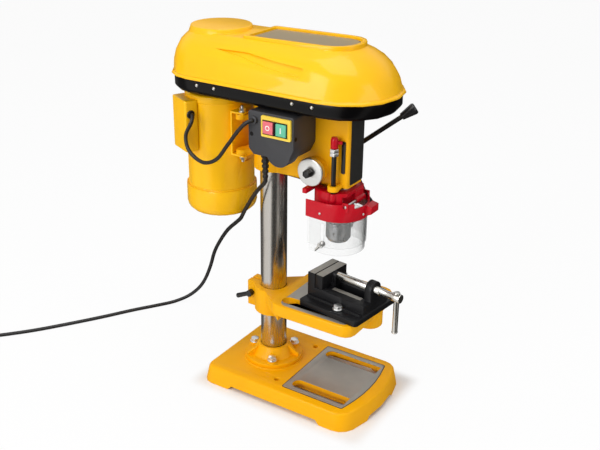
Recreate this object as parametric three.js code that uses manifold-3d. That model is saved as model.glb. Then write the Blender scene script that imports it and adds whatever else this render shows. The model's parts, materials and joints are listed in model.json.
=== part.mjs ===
// Bench pillar drill: cast base, steel column, swinging table with a drill vise, belt driven head.
// Millimetres, +Z up. X is the operator's right, Y the back. While it is drawn, the column axis is
// at x = y = 0 and the bench is at z = 0; the last lines move the origin to the middle of its foot.
import * as THREE from "three";
import { mergeVertices } from "three/addons/utils/BufferGeometryUtils.js";
import Module from "manifold-3d";

const wasm = await Module();
wasm.setup();

// Clearances
const run_gap = 0.3;
const seat_gap = 0.3;
const cut_over = 2;
const weld_distance = 0.0004;

// Column, spindle and motor axes
const column_radius = 23;
const column_wall = 3;
const spindle_reach = 127;
const motor_reach = 109;

// Base casting
const base_half_width = 95;
const base_back = 82;
const base_front = 208;
const base_height = 32;
const base_draft = 6;
const base_rear_corner = 14;
const base_front_corner = 26;
const base_bow = 12;
const base_wall = 7;
const base_plate = 9;
const base_edge = 4;
const foot_length = 48;
const arch_rise = 7;
const arch_slope = 10;
const base_slot_offset = 56;
const base_slot_width = 23;
const base_slot_back = 79;
const base_slot_front = 186;
const base_hole_offset = 64;
const base_hole_reach = 50;
const base_hole_radius = 5;
const rib_thickness = 6;

// Column flange
const flange_radius = 52;
const flange_plate = 7;
const collar_height = 26;
const collar_top_wall = 5;
const collar_foot_wall = 15;
const ring_boss_height = 2;
const bolt_circle_radius = 42;
const bolt_lug_radius = 9;
const bolt_lug_height = 4;
const bolt_shank_radius = 4;
const hex_radius = 7.5;
const hex_height = 5.5;
const washer_radius = 8.8;
const washer_height = 1.5;
const under_washer_radius = 17;

// Head casting and belt housing
const head_bottom = 398;
const head_top = 524;
const head_half_width = 24;
const head_front = 154.5;
const head_edge = 5;
const barrel_wall = 10;
const tray_height = 24;
const tray_foot_inset = 7;
const housing_half_width = 88;
const housing_front = 219;
const housing_back = 165;
const housing_wall = 3;
const housing_rear_corner = 60;
const rim_height = 5;
const rim_stand_out = 3;
const cover_height = 67;
const cover_top_half_width = 46;
const bezel_height = 5;
const bezel_rise = 2;
const bezel_wall = 7;
const hump_radius = 50;
const hump_foot_radius = 60;
const hump_reach = 102;
const hump_height = 1;
const cover_corner_steps = 4;
const swoosh_depth = 2.4;
const swoosh_points = [
  [58, 600],
  [7, 594],
  [-30, 587],
  [-66, 583],
  [-100, 579.4],
  [-103, 592.5],
  [-62, 595],
  [0, 601],
];

// Quill, spindle and chuck
const quill_radius = 20;
const quill_bottom = 336;
const quill_top = 505;
const quill_travel = 45;
const quill_nose_radius = 27;
const quill_nose_height = 8;
const spindle_radius = 8;
const spindle_top = 600;
const chuck_radius = 20.5;
const chuck_top = 331;
const chuck_height = 36;
const chuck_core_radius = 16.5;
const chuck_bore = 6.4;
const sleeve_height = 27;
const chuck_back_height = 6;
const jaw_radius = 2.6;
const jaw_length = 22;
const jaw_tip_radius = 5.2;
const jaw_lift = 1.5;
const jaw_tilt_degrees = 15;
const sleeve_teeth = 12;

// Feed pinion and handles
const pinion_radius = 10;
const pinion_teeth = 12;
const pinion_width = 18;
const rack_depth = 10;
const feed_rise = 25;
const feed_height = head_bottom + feed_rise;
const feed_shaft_radius = 6.5;
const feed_boss_radius = 19;
const feed_boss_length = 16;
const feed_hub_radius = 17;
const feed_hub_start = 44;
const feed_hub_length = 36;
const feed_hub_centre = 66;
const spoke_radius = 4;
const spoke_tilt_degrees = 27;
const spoke_phase_degrees = 50;
const handle_reach = 134;
const knob_length = 27;
const knob_end_radius = 10;
const knob_neck_radius = 6;
const knob_socket = 16;
const spring_cap_radius = 23;
const spring_cap_length = 9;
const spring_cap_wall = 2.5;

// Depth stop
const stop_offset = 36;
const stop_reach = 136;
const stop_rod_radius = 3.9;
const stop_rod_foot = 386;
const stop_rod_length = 92;
const stop_lug_radius = 9;
const stop_lug_height = 9;
const stop_nut_height = 454;
const pointer_height = 18;
const pointer_radius = 6;
const scale_length = 52;
const scale_width = 6.5;
const scale_foot = 423;
const scale_thickness = 1.6;

// Switch box
const box_face = 88;
const box_front = 95;
const box_rear = 12.5;
const box_bottom = 449;
const box_top = 519;
const box_chamfer = 9;
const tongue_depth = 24;
const tongue_centre = 67;
const tongue_radius = 22;
const tongue_bottom = 436;
const box_corner = 4;
const frame_front = 92;
const frame_rear = 39;
const frame_bottom = 482.5;
const frame_top = 515.5;
const frame_depth = 4;
const button_places = [["stop_button", 52.5], ["start_button", 76]];
const button_half = 9;
const button_bottom = 488.5;
const button_top = 507.5;
const button_gap = 0.6;
const button_stand_out = 2.5;
const button_depth = 9;
const lead_gland_reach = 24;
const lead_gland_height = 505;
const lead_gland_radius = 6.5;
const lead_gland_length = 5;
const relief_offset = 60;
const relief_reach = 20;
const relief_length = 56;
const relief_top_radius = 7;
const relief_end_radius = 4.8;

// Motor
const motor_radius = 57;
const motor_bottom = 345;
const motor_top = 514;
const motor_flange_radius = 59;
const motor_flange_height = 14;
const fan_cover_radius = 61;
const fan_cover_bottom = 302;
const fan_cover_top = 350;
const fan_cover_corner = 16;
const sheet_wall = 2;
const vent_slots = 4;
const terminal_turn_degrees = 154;
const terminal_width = 50;
const terminal_stand_out = 19;
const terminal_bottom = 420;
const terminal_top = 507;
const bracket_half_width = 46;
const bracket_top = 495;
const bracket_bottom = 420;
const bracket_reach = 27;
const bracket_sheet = 3;
const ear_height = 9;
const ear_radius = 9;
const ear_offset = 39;
const ear_reach = 37;
const motor_shaft_radius = 7;
const shaft_seat = 30;

// Belt drive
const pulley_radius = 44;
const pulley_step = 7;
const pulley_step_count = 4;
const step_height = 10;
const belt_step = 1;
const belt_depth = 5;
const belt_width = 7;
const pulley_foot = 534;
const pulley_lip = 1.6;

const pulley_steps = Array.from({ length: pulley_step_count }, (_, i) => pulley_radius - i * pulley_step);

// Table
const table_top = 189;
const table_half_width = 80;
const table_back = 40;
const table_front = 200;
const table_skirt = 22;
const table_front_corner = 20;
const table_rear_corner = 20;
const table_wall = 6;
const table_plate = 8;
const table_edge = 3;
const table_slot_offset = 54.5;
const table_slot_width = 22;
const table_slot_back = 56;
const table_slot_front = 180;
const slot_boss_wall = 5;
const slot_boss_bottom = 170;
const neck_bottom = 158;
const nose_boss_radius = 22;
const nose_boss_offset = 18;
const nose_boss_reach = -183;
const nose_boss_bottom = 147;
const clamp_bottom = 130;
const clamp_top = 178;
const clamp_wall = 11;
const neck_inset = 4;
const gusset_half = 5;
const clamp_slit = 3;
const clamp_ear_reach = 46;
const clamp_ear_thickness = 13;
const clamp_screw_reach = 38;
const clamp_screw_height = 156;
const clamp_screw_radius = 4;
const clamp_hub_radius = 6;
const clamp_hub_length = 10;
const clamp_bar_radius = 4.5;
const clamp_bar_length = 30;
const clamp_bar_tilt_degrees = 26;

// Vise, in its own frame on the table: its fixed jaw's back is at y = 0, its front is -Y
const vise_offset = -0.5;
const vise_reach = 95;
const vise_turn_degrees = -7.3;
const vise_flange_half_width = 57;
const vise_flange_height = 10;
const vise_length = 118;
const vise_half_width = 33;
const vise_bed = 27;
const vise_jaw_top = 51.7;
const vise_jaw_thickness = 15;
const vise_jaw_half_width = 33;
const vise_channel = 20;
const vise_channel_floor = 12;
const vise_screw_height = 44.7;
const vise_screw_radius = 6.5;
const vise_pilot_radius = 4;
const vise_boss_radius = 14;
const vise_boss_length = 13;
const vise_shank_end = 147;
const vise_head_radius = 7.5;
const vise_head_length = 16;
const vise_bar_reach = 155;
const vise_bar_radius = 4.6;
const vise_bar_length = 74;
const vise_bar_cap = 2;
const vise_bolt_place = [[-50, -159], [52, -111]];
const vise_step = 6;

// Chuck guard
const guard_pin_reach = 158;
const guard_pin_height = 373;
const guard_lug_rise = 6.5;
const guard_pin_radius = 2.4;
const guard_radius = 48.8;
const guard_wall = 2.5;
const guard_leg_back = 92;
const guard_bottom = 347;
const guard_top = 377;
const guard_front_top = 369;
const carrier_radius = 40;
const carrier_top = 392;
const carrier_bottom = 353;
const carrier_plate = 6;
const carrier_hub_wall = 3.8;
const carrier_front = 156.5;
const barrel_radius = 5;
const shield_wall = 1.8;
const shield_top = 365;
const shield_length = 65;
const shield_bottom = shield_top - shield_length;
const wing_rise = 3;
const wing_height = shield_bottom + wing_rise;
const wing_setback = 5;
const wing_reach = spindle_reach - wing_setback;
const visor_drop = 13;
const visor_slot_width = 6;
const visor_slot_length = 37;
const visor_lip = 5;
const visor_bottom = shield_bottom - visor_drop;
const visor_slot_top = wing_height + visor_slot_length;
const visor_top = visor_slot_top + visor_lip;
const wing_screw_radius = 2.4;
const wing_span = 8;

// Mains lead
const lead_radius = 3.5;
const motor_lead_radius = 3.2;
const coil_pitch = 7.8;
const coil_inner_radius = 33;
const coil_turns = 3.35;
const coil_steps = 24;
const plug_radius = 18;
const plug_length = 36;
const plug_pin_radius = 2.4;
const plug_pin_length = 19;
const plug_pin_spacing = 19;
const plug_collar_radius = 7;
const plug_collar_length = 22;

// Colours and finishes
const paint = (color, roughness, metalness) => new THREE.MeshStandardMaterial({ color, roughness, metalness });
const yellow_paint = paint("#f6ad08", 0.42, 0);
const black_plastic = paint("#1d1d1f", 0.55, 0);
const black_cast = paint("#17181a", 0.45, 0.1);
const bright_steel = paint("#b9b8b5", 0.28, 0.95);
const dark_steel = paint("#4a4a4c", 0.35, 0.9);
const zinc = paint("#cfd1d3", 0.3, 0.9);
const red_plastic = paint("#c20f22", 0.4, 0);
const clear_plastic = paint("#e8eef0", 0.08, 0);
const red_button = paint("#d9566a", 0.35, 0);
const green_button = paint("#5fae8e", 0.35, 0);
const rubber = paint("#141414", 0.7, 0);
const frame_yellow = paint("#f3c33a", 0.4, 0);

const degree = Math.PI / 180;
const machine = new THREE.Group();

// Solids from three.js geometries, joined and cut as closed solids

function signed_volume(positions, index) {
  const a = new THREE.Vector3();
  const b = new THREE.Vector3();
  const c = new THREE.Vector3();
  let volume = 0;
  for (let i = 0; i < index.length; i += 3) {
    a.fromArray(positions, 3 * index[i]);
    b.fromArray(positions, 3 * index[i + 1]);
    c.fromArray(positions, 3 * index[i + 2]);
    volume += a.dot(b.cross(c));
  }
  return volume;
}

function solid(geometry) {
  const bare = geometry.clone();
  bare.deleteAttribute("normal");
  bare.deleteAttribute("uv");
  const welded = mergeVertices(bare, weld_distance);
  const positions = welded.attributes.position.array;
  const corners = [];
  const index = welded.index.array;
  for (let i = 0; i < index.length; i += 3) {
    const [a, b, c] = [index[i], index[i + 1], index[i + 2]];
    if (a !== b && b !== c && c !== a) corners.push(a, b, c);
  }
  if (signed_volume(positions, corners) < 0) corners.reverse();
  const mesh = new wasm.Mesh({
    numProp: 3,
    vertProperties: Float32Array.from(positions),
    triVerts: Uint32Array.from(corners),
  });
  return new wasm.Manifold(mesh);
}

function add(name, shape, material, parent = machine) {
  const { vertProperties, triVerts } = shape.getMesh();
  const geometry = new THREE.BufferGeometry();
  geometry.setAttribute("position", new THREE.BufferAttribute(Float32Array.from(vertProperties), 3));
  geometry.setIndex(Array.from(triVerts));
  geometry.computeVertexNormals();
  const mesh = new THREE.Mesh(geometry, material);
  mesh.name = name;
  parent.add(mesh);
  return mesh;
}

const join = (...shapes) => shapes.reduce((whole, shape) => whole.add(shape));
const cut = (whole, ...tools) => tools.reduce((rest, tool) => rest.subtract(tool), whole);

function block(x0, x1, y0, y1, z0, z1) {
  const geometry = new THREE.BoxGeometry(x1 - x0, y1 - y0, z1 - z0);
  return solid(geometry.translate((x0 + x1) / 2, (y0 + y1) / 2, (z0 + z1) / 2));
}

// An outline extruded between two levels: upright, along X (outline in y, z) or along Y (outline in x, z)
function extruded(outline, from, to, sides = 4) {
  return new THREE.ExtrudeGeometry(outline, { depth: to - from, bevelEnabled: false, curveSegments: sides })
    .translate(0, 0, from);
}

const upright = (outline, from, to, sides) => solid(extruded(outline, from, to, sides));

function along_x(outline, from, to, sides) {
  const turn = new THREE.Matrix4().makeBasis(
    new THREE.Vector3(0, 1, 0),
    new THREE.Vector3(0, 0, 1),
    new THREE.Vector3(1, 0, 0),
  );
  return solid(extruded(outline, from, to, sides).applyMatrix4(turn));
}

function along_y(outline, from, to, sides) {
  return solid(extruded(outline, -to, -from, sides).rotateX(90 * degree));
}

// A profile of [radius, height] points turned about an upright axis at x, y
function turned(profile, x = 0, y = 0, sides = 20) {
  const points = profile.map(([radius, height]) => new THREE.Vector2(radius, height));
  return solid(new THREE.LatheGeometry(points, sides).rotateX(90 * degree).translate(x, y, 0));
}

function turned_x(profile, y, z, sides = 16) {
  const points = profile.map(([radius, reach]) => new THREE.Vector2(radius, reach));
  return solid(new THREE.LatheGeometry(points, sides).rotateZ(-90 * degree).translate(0, y, z));
}

function turned_y(profile, x, z, sides = 24) {
  const points = profile.map(([radius, reach]) => new THREE.Vector2(radius, reach));
  return solid(new THREE.LatheGeometry(points, sides).translate(x, 0, z));
}

const post = (x, y, z0, z1, radius, sides = 12) => turned([[0, z0], [radius, z0], [radius, z1], [0, z1]], x, y, sides);
const bar_x = (x0, x1, y, z, radius, sides = 12) => turned_x([[0, x0], [radius, x0], [radius, x1], [0, x1]], y, z, sides);
const bar_y = (y0, y1, x, z, radius, sides = 14) => turned_y([[0, y0], [radius, y0], [radius, y1], [0, y1]], x, z, sides);
const hex_post = (x, y, z0, z1, radius) => post(x, y, z0, z1, radius, 6);

// A tapered rod between two points
function rod(start, end, start_radius, end_radius = start_radius, sides = 10) {
  const from = new THREE.Vector3(...start);
  const to = new THREE.Vector3(...end);
  const length = from.distanceTo(to);
  const geometry = new THREE.CylinderGeometry(end_radius, start_radius, length, sides);
  const turn = new THREE.Quaternion().setFromUnitVectors(
    new THREE.Vector3(0, 1, 0),
    to.clone().sub(from).normalize(),
  );
  geometry.applyQuaternion(turn);
  const middle = from.add(to).multiplyScalar(0.5);
  return solid(geometry.translate(middle.x, middle.y, middle.z));
}

// Closed loops of equal length, one per level, skinned and capped
function loft(loops) {
  const count = loops[0].length;
  const positions = loops.flat().flatMap((point) => [point.x, point.y, point.z]);
  const index = [];
  for (let level = 0; level + 1 < loops.length; level += 1) {
    for (let i = 0; i < count; i += 1) {
      const a = level * count + i;
      const b = level * count + ((i + 1) % count);
      index.push(a, b, b + count, a, b + count, a + count);
    }
  }
  const last = (loops.length - 1) * count;
  const cap = (loop) => THREE.ShapeUtils.triangulateShape(loop.map((point) => new THREE.Vector2(point.x, point.y)), []);
  for (const [a, b, c] of cap(loops[0])) index.push(c, b, a);
  for (const [a, b, c] of cap(loops.at(-1))) index.push(last + a, last + b, last + c);
  const geometry = new THREE.BufferGeometry();
  geometry.setAttribute("position", new THREE.Float32BufferAttribute(positions, 3));
  geometry.setIndex(index);
  return solid(geometry);
}

function arc_points(cx, cy, radius, from, to, steps) {
  const points = [];
  for (let i = 0; i <= steps; i += 1) {
    const angle = (from + ((to - from) * i) / steps) * degree;
    points.push([cx + radius * Math.cos(angle), cy + radius * Math.sin(angle)]);
  }
  return points;
}

// A plan with rounded corners and a front edge that may bow forward, as a loop at one level
function plan_loop(plan, z) {
  const { half_width, back, front, rear_corner, front_corner, bow = 0, corner_steps = 3 } = plan;
  const bow_steps = 4;
  const flat = half_width - front_corner;
  const lean = Math.atan2(2 * bow, flat) / degree;
  const points = [
    ...arc_points(half_width - rear_corner, back - rear_corner, rear_corner, 0, 90, corner_steps),
    ...arc_points(-half_width + rear_corner, back - rear_corner, rear_corner, 90, 180, corner_steps),
    ...arc_points(-flat, -front + front_corner, front_corner, 180, 270 - lean, corner_steps),
  ];
  for (let i = 1; i < bow_steps; i += 1) {
    const share = -1 + (2 * i) / bow_steps;
    points.push([flat * share, -front - bow * (1 - share * share)]);
  }
  points.push(...arc_points(flat, -front + front_corner, front_corner, 270 + lean, 360, corner_steps));
  return points.map(([x, y]) => new THREE.Vector3(x, y, z));
}

const inset_plan = (plan, inset) => ({
  ...plan,
  half_width: plan.half_width - inset,
  back: plan.back - inset,
  front: plan.front - inset,
  rear_corner: Math.max(plan.rear_corner - inset, plan.rear_corner / 4),
  front_corner: Math.max(plan.front_corner - inset, plan.front_corner / 4),
});

function rounded_rectangle(x0, x1, y0, y1, radius) {
  const shape = new THREE.Shape();
  shape.absarc(x1 - radius, y1 - radius, radius, 0, 90 * degree);
  shape.absarc(x0 + radius, y1 - radius, radius, 90 * degree, 180 * degree);
  shape.absarc(x0 + radius, y0 + radius, radius, 180 * degree, 270 * degree);
  shape.absarc(x1 - radius, y0 + radius, radius, 270 * degree, 360 * degree);
  return shape;
}

const polygon = (points) => new THREE.Shape(points.map(([x, y]) => new THREE.Vector2(x, y)));
const slot = (x, y0, y1, width) => rounded_rectangle(x - width / 2, x + width / 2, y0, y1, width / 2);

// A hexagon bolt standing on a face, its shank going down from it
function hex_bolt(x, y, face, depth) {
  const seat = face + seat_gap;
  return join(
    post(x, y, seat, seat + washer_height, washer_radius, 14),
    hex_post(x, y, seat + washer_height / 2, seat + washer_height + hex_height, hex_radius),
    post(x, y, face - depth, seat + washer_height, bolt_shank_radius, 12),
  );
}

// Base casting: drafted walls, a rounded top edge, a hollow underside with ribs and four feet

const base_top_plan = {
  half_width: base_half_width,
  back: base_back,
  front: base_front,
  rear_corner: base_rear_corner,
  front_corner: base_front_corner,
  bow: base_bow,
};

function base_arch(half_span) {
  return polygon([
    [-half_span, -cut_over],
    [half_span, -cut_over],
    [half_span - arch_slope, arch_rise],
    [-half_span + arch_slope, arch_rise],
  ]);
}

function make_base() {
  const edge_inset = base_edge * (1 - Math.SQRT1_2);
  const shell = loft([
    plan_loop(inset_plan(base_top_plan, -base_draft), 0),
    plan_loop(base_top_plan, base_height - base_edge),
    plan_loop(inset_plan(base_top_plan, edge_inset), base_height - edge_inset),
    plan_loop(inset_plan(base_top_plan, base_edge), base_height),
  ]);
  const hollow = loft([
    plan_loop(inset_plan(base_top_plan, base_wall - base_draft), -cut_over),
    plan_loop(inset_plan(base_top_plan, base_wall), base_height - base_plate),
  ]);
  const length = base_front + base_back;
  const rib_top = base_height - base_plate + cut_over;
  const inner = base_half_width - base_wall / 2;
  const boss = post(0, 0, arch_rise, rib_top, flange_radius, 24);
  const cross_rib = block(-inner, inner, -rib_thickness / 2, rib_thickness / 2, arch_rise, rib_top);
  const long_ribs = [-1, 1].map((side) => {
    const x = (side * base_half_width) / 3;
    return block(x - rib_thickness / 2, x + rib_thickness / 2, -base_front, base_back - base_wall / 2, arch_rise, rib_top);
  });
  const side_arch = along_x(base_arch(length / 2 - foot_length), -2 * base_half_width, 2 * base_half_width);
  const middle = (base_back - base_front) / 2;
  const front_arch = along_y(base_arch(base_half_width - foot_length), -2 * base_front, 2 * base_back);
  const slots = [-1, 1].map((side) => {
    const x = side * base_slot_offset;
    const half = base_slot_width / 2;
    const round_end = upright(
      slot(x, -base_slot_front + half, -base_slot_back, base_slot_width),
      arch_rise,
      base_height + cut_over,
    );
    const square_end = block(x - half, x + half, -base_slot_front, -base_slot_front + base_slot_width, arch_rise, base_height + cut_over);
    return join(round_end, square_end);
  });
  const holes = [-1, 1].map((side) =>
    post(side * base_hole_offset, -base_hole_reach, arch_rise, base_height + cut_over, base_hole_radius));
  const ring = post(0, 0, rib_top, base_height + ring_boss_height, flange_radius + ring_boss_height, 24);
  const bolt_holes = bolt_places.map(([x, y]) =>
    post(x, y, arch_rise + base_plate / 2, base_height + ring_boss_height + cut_over, bolt_shank_radius + run_gap, 12));
  return cut(
    join(cut(shell, hollow), boss, cross_rib, ...long_ribs, ring),
    side_arch.translate(0, middle, 0),
    front_arch,
    ...slots,
    ...holes,
    ...bolt_holes,
  );
}

const bolt_places = [90, 210, 330].map((angle) => [
  bolt_circle_radius * Math.cos(angle * degree),
  bolt_circle_radius * Math.sin(angle * degree),
]);
const flange_foot = base_height + ring_boss_height + seat_gap;
const flange_face = flange_foot + flange_plate;

// Column flange: a plate, a conical collar and three bolt lugs with flat ribs to the collar
function make_flange() {
  const collar_foot_radius = column_radius + collar_foot_wall;
  const collar_top_radius = column_radius + collar_top_wall;
  const body = turned([
    [0, flange_foot],
    [flange_radius, flange_foot],
    [flange_radius, flange_face],
    [collar_foot_radius, flange_face],
    [collar_top_radius, flange_foot + collar_height],
    [0, flange_foot + collar_height],
  ], 0, 0, 24);
  const lug_top = flange_face + bolt_lug_height;
  const lugs = bolt_places.map(([x, y]) => post(x, y, flange_foot, lug_top, bolt_lug_radius, 12));
  const bolt_holes = bolt_places.map(([x, y]) =>
    post(x, y, flange_foot - cut_over, lug_top + cut_over, bolt_shank_radius + run_gap, 12));
  const head_rooms = bolt_places.map(([x, y]) =>
    post(x, y, lug_top, flange_foot + collar_height + cut_over, bolt_lug_radius + run_gap, 20));
  const bore = post(0, 0, flange_foot - cut_over, flange_foot + collar_height + cut_over, column_radius + run_gap, 24);
  return cut(join(body, ...lugs), ...head_rooms, ...bolt_holes, bore);
}

add("base", make_base(), yellow_paint);
add("column_flange", make_flange(), yellow_paint);
bolt_places.forEach(([x, y], i) => {
  const bolt = hex_bolt(x, y, flange_face + bolt_lug_height, flange_plate + bolt_lug_height + base_plate);
  add(`flange_bolt_${i + 1}`, bolt, zinc);
});

// Column tube, from the base's ring up into the head's barrel
const column_foot = base_height + ring_boss_height + seat_gap;
const column_top = head_top - barrel_wall - seat_gap;
add("column", cut(
  post(0, 0, column_foot, column_top, column_radius, 24),
  post(0, 0, column_foot - cut_over, column_top + cut_over, column_radius - column_wall, 24),
), bright_steel);

// Table: ribbed plate with slots, a neck and the split collar that grips the column

const clamp_radius = column_radius + clamp_wall;
const table_plan = {
  half_width: table_half_width,
  back: -table_back,
  front: table_front,
  rear_corner: table_rear_corner,
  front_corner: table_front_corner,
};

function make_table() {
  const foot = table_top - table_skirt;
  const plate = loft([
    plan_loop(inset_plan(table_plan, table_edge), foot),
    plan_loop(table_plan, foot + table_edge),
    plan_loop(table_plan, table_top - table_edge / 2),
    plan_loop(inset_plan(table_plan, table_edge / 2), table_top),
  ]);
  const hollow = loft([
    plan_loop(inset_plan(table_plan, table_wall), foot - cut_over),
    plan_loop(inset_plan(table_plan, table_wall), table_top - table_plate),
  ]);
  const neck = upright(polygon([
    [-table_half_width + table_wall / 2, -table_back - table_rear_corner],
    [table_half_width - table_wall / 2, -table_back - table_rear_corner],
    [clamp_radius - neck_inset, 0],
    [neck_inset - clamp_radius, 0],
  ]), neck_bottom, clamp_top);
  const nose_boss = turned([
    [0, nose_boss_bottom],
    [nose_boss_radius - table_edge, nose_boss_bottom],
    [nose_boss_radius, nose_boss_bottom + table_edge],
    [nose_boss_radius, table_top - table_plate / 2],
    [0, table_top - table_plate / 2],
  ], nose_boss_offset, nose_boss_reach, 20);
  const gusset = along_x(polygon([
    [0, clamp_bottom],
    [-clamp_radius, clamp_bottom],
    [-table_slot_front + table_wall, foot + table_edge],
    [-table_slot_front + table_wall, table_top - table_plate / 2],
    [0, foot],
  ]), -gusset_half, gusset_half);
  const collar = post(0, 0, clamp_bottom, clamp_top, clamp_radius, 24);
  const ears = block(
    -clamp_slit / 2 - clamp_ear_thickness,
    clamp_slit / 2 + clamp_ear_thickness,
    0,
    clamp_ear_reach,
    clamp_bottom,
    clamp_top,
  );
  const slot_y0 = -table_slot_front;
  const slot_y1 = -table_slot_back;
  const boss_width = table_slot_width + 2 * slot_boss_wall;
  const boss_end = -table_back - table_wall / 2;
  const bosses = [-1, 1].map((side) =>
    upright(slot(side * table_slot_offset, slot_y0 - slot_boss_wall, boss_end, boss_width),
      slot_boss_bottom, table_top - table_plate / 2));
  const slots = [-1, 1].map((side) =>
    upright(slot(side * table_slot_offset, slot_y0, slot_y1, table_slot_width),
      slot_boss_bottom - cut_over, table_top + cut_over));
  const bore = post(0, 0, clamp_bottom - cut_over, table_top + cut_over, column_radius + run_gap, 24);
  const slit = block(
    -clamp_slit / 2,
    clamp_slit / 2,
    0,
    clamp_ear_reach + cut_over,
    clamp_bottom - cut_over,
    clamp_top + cut_over,
  );
  const screw_hole = bar_x(-clamp_radius, clamp_radius, clamp_screw_reach, clamp_screw_height, clamp_screw_radius + run_gap);
  return cut(
    join(cut(plate, hollow), neck, gusset, collar, ears, nose_boss, ...bosses),
    ...slots,
    bore,
    slit,
    screw_hole,
  );
}

function make_clamp_screw() {
  const ear_face = clamp_slit / 2 + clamp_ear_thickness;
  const hub_start = -ear_face - seat_gap;
  const hub_end = hub_start - clamp_hub_length;
  const hub_middle = (hub_start + hub_end) / 2;
  const tilt = clamp_bar_tilt_degrees * degree;
  const bar_end = [
    hub_middle,
    clamp_screw_reach + clamp_bar_length * Math.cos(tilt),
    clamp_screw_height - clamp_bar_length * Math.sin(tilt),
  ];
  return join(
    bar_x(hub_end, hub_start, clamp_screw_reach, clamp_screw_height, clamp_hub_radius),
    bar_x(hub_start - seat_gap, ear_face + seat_gap, clamp_screw_reach, clamp_screw_height, clamp_screw_radius),
    rod([hub_middle, clamp_screw_reach, clamp_screw_height], bar_end, clamp_bar_radius - 1.2 * run_gap, clamp_bar_radius),
  );
}

add("table", make_table(), yellow_paint);
add("table_clamp_lever", make_clamp_screw(), black_plastic);

// Drill vise on the table

const vise_group = new THREE.Group();
const vise_floor = table_top + seat_gap;
vise_group.position.set(vise_offset, -vise_reach, vise_floor);
vise_group.rotation.z = vise_turn_degrees * degree;
machine.add(vise_group);

const vise_turn = vise_turn_degrees * degree;
const vise_bolt_slot = 6;

// A place on the table, seen from the vise
function from_vise([x, y]) {
  const [dx, dy] = [x - vise_offset, y + vise_reach];
  return [
    dx * Math.cos(vise_turn) + dy * Math.sin(vise_turn),
    dy * Math.cos(vise_turn) - dx * Math.sin(vise_turn),
  ];
}

function make_vise_body() {
  const flange = upright(
    rounded_rectangle(-vise_flange_half_width, vise_flange_half_width, -vise_length, 0, vise_step),
    0, vise_flange_height);
  const step = block(-vise_half_width - vise_step, vise_half_width + vise_step, -vise_length + vise_step, -vise_step / 2, 0, vise_flange_height + vise_step / 2);
  const bed = block(-vise_half_width, vise_half_width, -vise_length + vise_step / 2, 0, 0, vise_bed);
  const jaw = along_y(polygon([
    [-vise_half_width, 0],
    [vise_half_width, 0],
    [vise_jaw_half_width, vise_jaw_top],
    [-vise_jaw_half_width, vise_jaw_top],
  ]), -vise_jaw_thickness, 0);
  const boss_start = -vise_length + vise_step / 2;
  const boss_end = boss_start + vise_boss_length;
  const boss = bar_y(boss_start, boss_end, 0, vise_screw_height, vise_boss_radius, 20);
  const pedestal = block(-vise_boss_radius, vise_boss_radius, boss_start, boss_end, 0, vise_screw_height);
  const channel_back = -vise_jaw_thickness - vise_step / 2;
  const channel = block(
    -vise_channel / 2,
    vise_channel / 2,
    boss_end + vise_step / 2,
    channel_back,
    vise_channel_floor,
    vise_bed + cut_over,
  );
  const screw_bore = bar_y(boss_start - cut_over, boss_end + cut_over, 0, vise_screw_height, vise_screw_radius + run_gap);
  const half = bolt_shank_radius + run_gap;
  const bolt_slots = vise_bolt_place.map((place) => {
    const [x, y] = from_vise(place);
    const outer = Math.sign(x) * (Math.abs(x) + vise_bolt_slot);
    return join(
      post(x, y, -cut_over, vise_flange_height + cut_over, half, 12),
      block(Math.min(x, outer), Math.max(x, outer), y - half, y + half, -cut_over, vise_flange_height + cut_over),
      post(x, y, vise_flange_height, vise_bed, washer_radius + run_gap, 24),
    );
  });
  return cut(join(flange, step, bed, jaw, boss, pedestal), channel, screw_bore, ...bolt_slots);
}

const jaw_gap = 0.8;
const slide_back = -vise_jaw_thickness - jaw_gap;
const slide_front = slide_back - vise_jaw_thickness;
const pilot_boss_radius = vise_jaw_top - vise_screw_height;
const pilot_boss_end = slide_front - pilot_boss_radius;

function make_vise_jaw() {
  const face = block(-vise_jaw_half_width, vise_jaw_half_width, slide_front, slide_back, vise_bed + run_gap, vise_jaw_top);
  const key = block(
    -vise_channel / 2 + run_gap,
    vise_channel / 2 - run_gap,
    slide_front - vise_step,
    slide_back - vise_step,
    vise_channel_floor + run_gap,
    vise_bed + vise_step,
  );
  const boss = bar_y(pilot_boss_end, slide_front + vise_step, 0, vise_screw_height, pilot_boss_radius);
  const web = block(-pilot_boss_radius, pilot_boss_radius, pilot_boss_end, slide_front + vise_step, vise_bed + run_gap, vise_screw_height);
  const pilot = bar_y(pilot_boss_end - cut_over, slide_back - vise_step / 2, 0, vise_screw_height, vise_pilot_radius + run_gap);
  return cut(join(face, key, boss, web), pilot);
}

function make_vise_screw() {
  const head_end = -vise_shank_end - vise_head_length;
  const screw = join(
    bar_y(pilot_boss_end, slide_back - vise_step, 0, vise_screw_height, vise_pilot_radius),
    bar_y(-vise_length - vise_step, pilot_boss_end - seat_gap, 0, vise_screw_height, vise_screw_radius),
    bar_y(-vise_shank_end, -vise_length - vise_step / 2, 0, vise_screw_height, vise_screw_radius - 2 * run_gap),
    bar_y(pilot_boss_end - 2 * seat_gap, pilot_boss_end + seat_gap, 0, vise_screw_height, vise_pilot_radius),
    bar_y(head_end, -vise_shank_end, 0, vise_screw_height, vise_head_radius),
  );
  return cut(screw, post(0, -vise_bar_reach, 0, 2 * vise_screw_height, vise_bar_radius + run_gap));
}

function make_vise_bar() {
  const head_top_face = vise_screw_height + vise_head_radius;
  const top = head_top_face + seat_gap;
  const bottom = top + vise_bar_cap - vise_bar_length;
  const cap_radius = vise_bar_radius + vise_bar_cap / 2;
  return turned([
    [0, bottom],
    [vise_bar_radius, bottom],
    [cap_radius, bottom + vise_bar_cap],
    [vise_bar_radius, bottom + vise_bar_cap],
    [vise_bar_radius, top],
    [cap_radius, top],
    [vise_bar_radius, top + vise_bar_cap],
    [0, top + vise_bar_cap],
  ], 0, -vise_bar_reach, 12);
}

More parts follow.
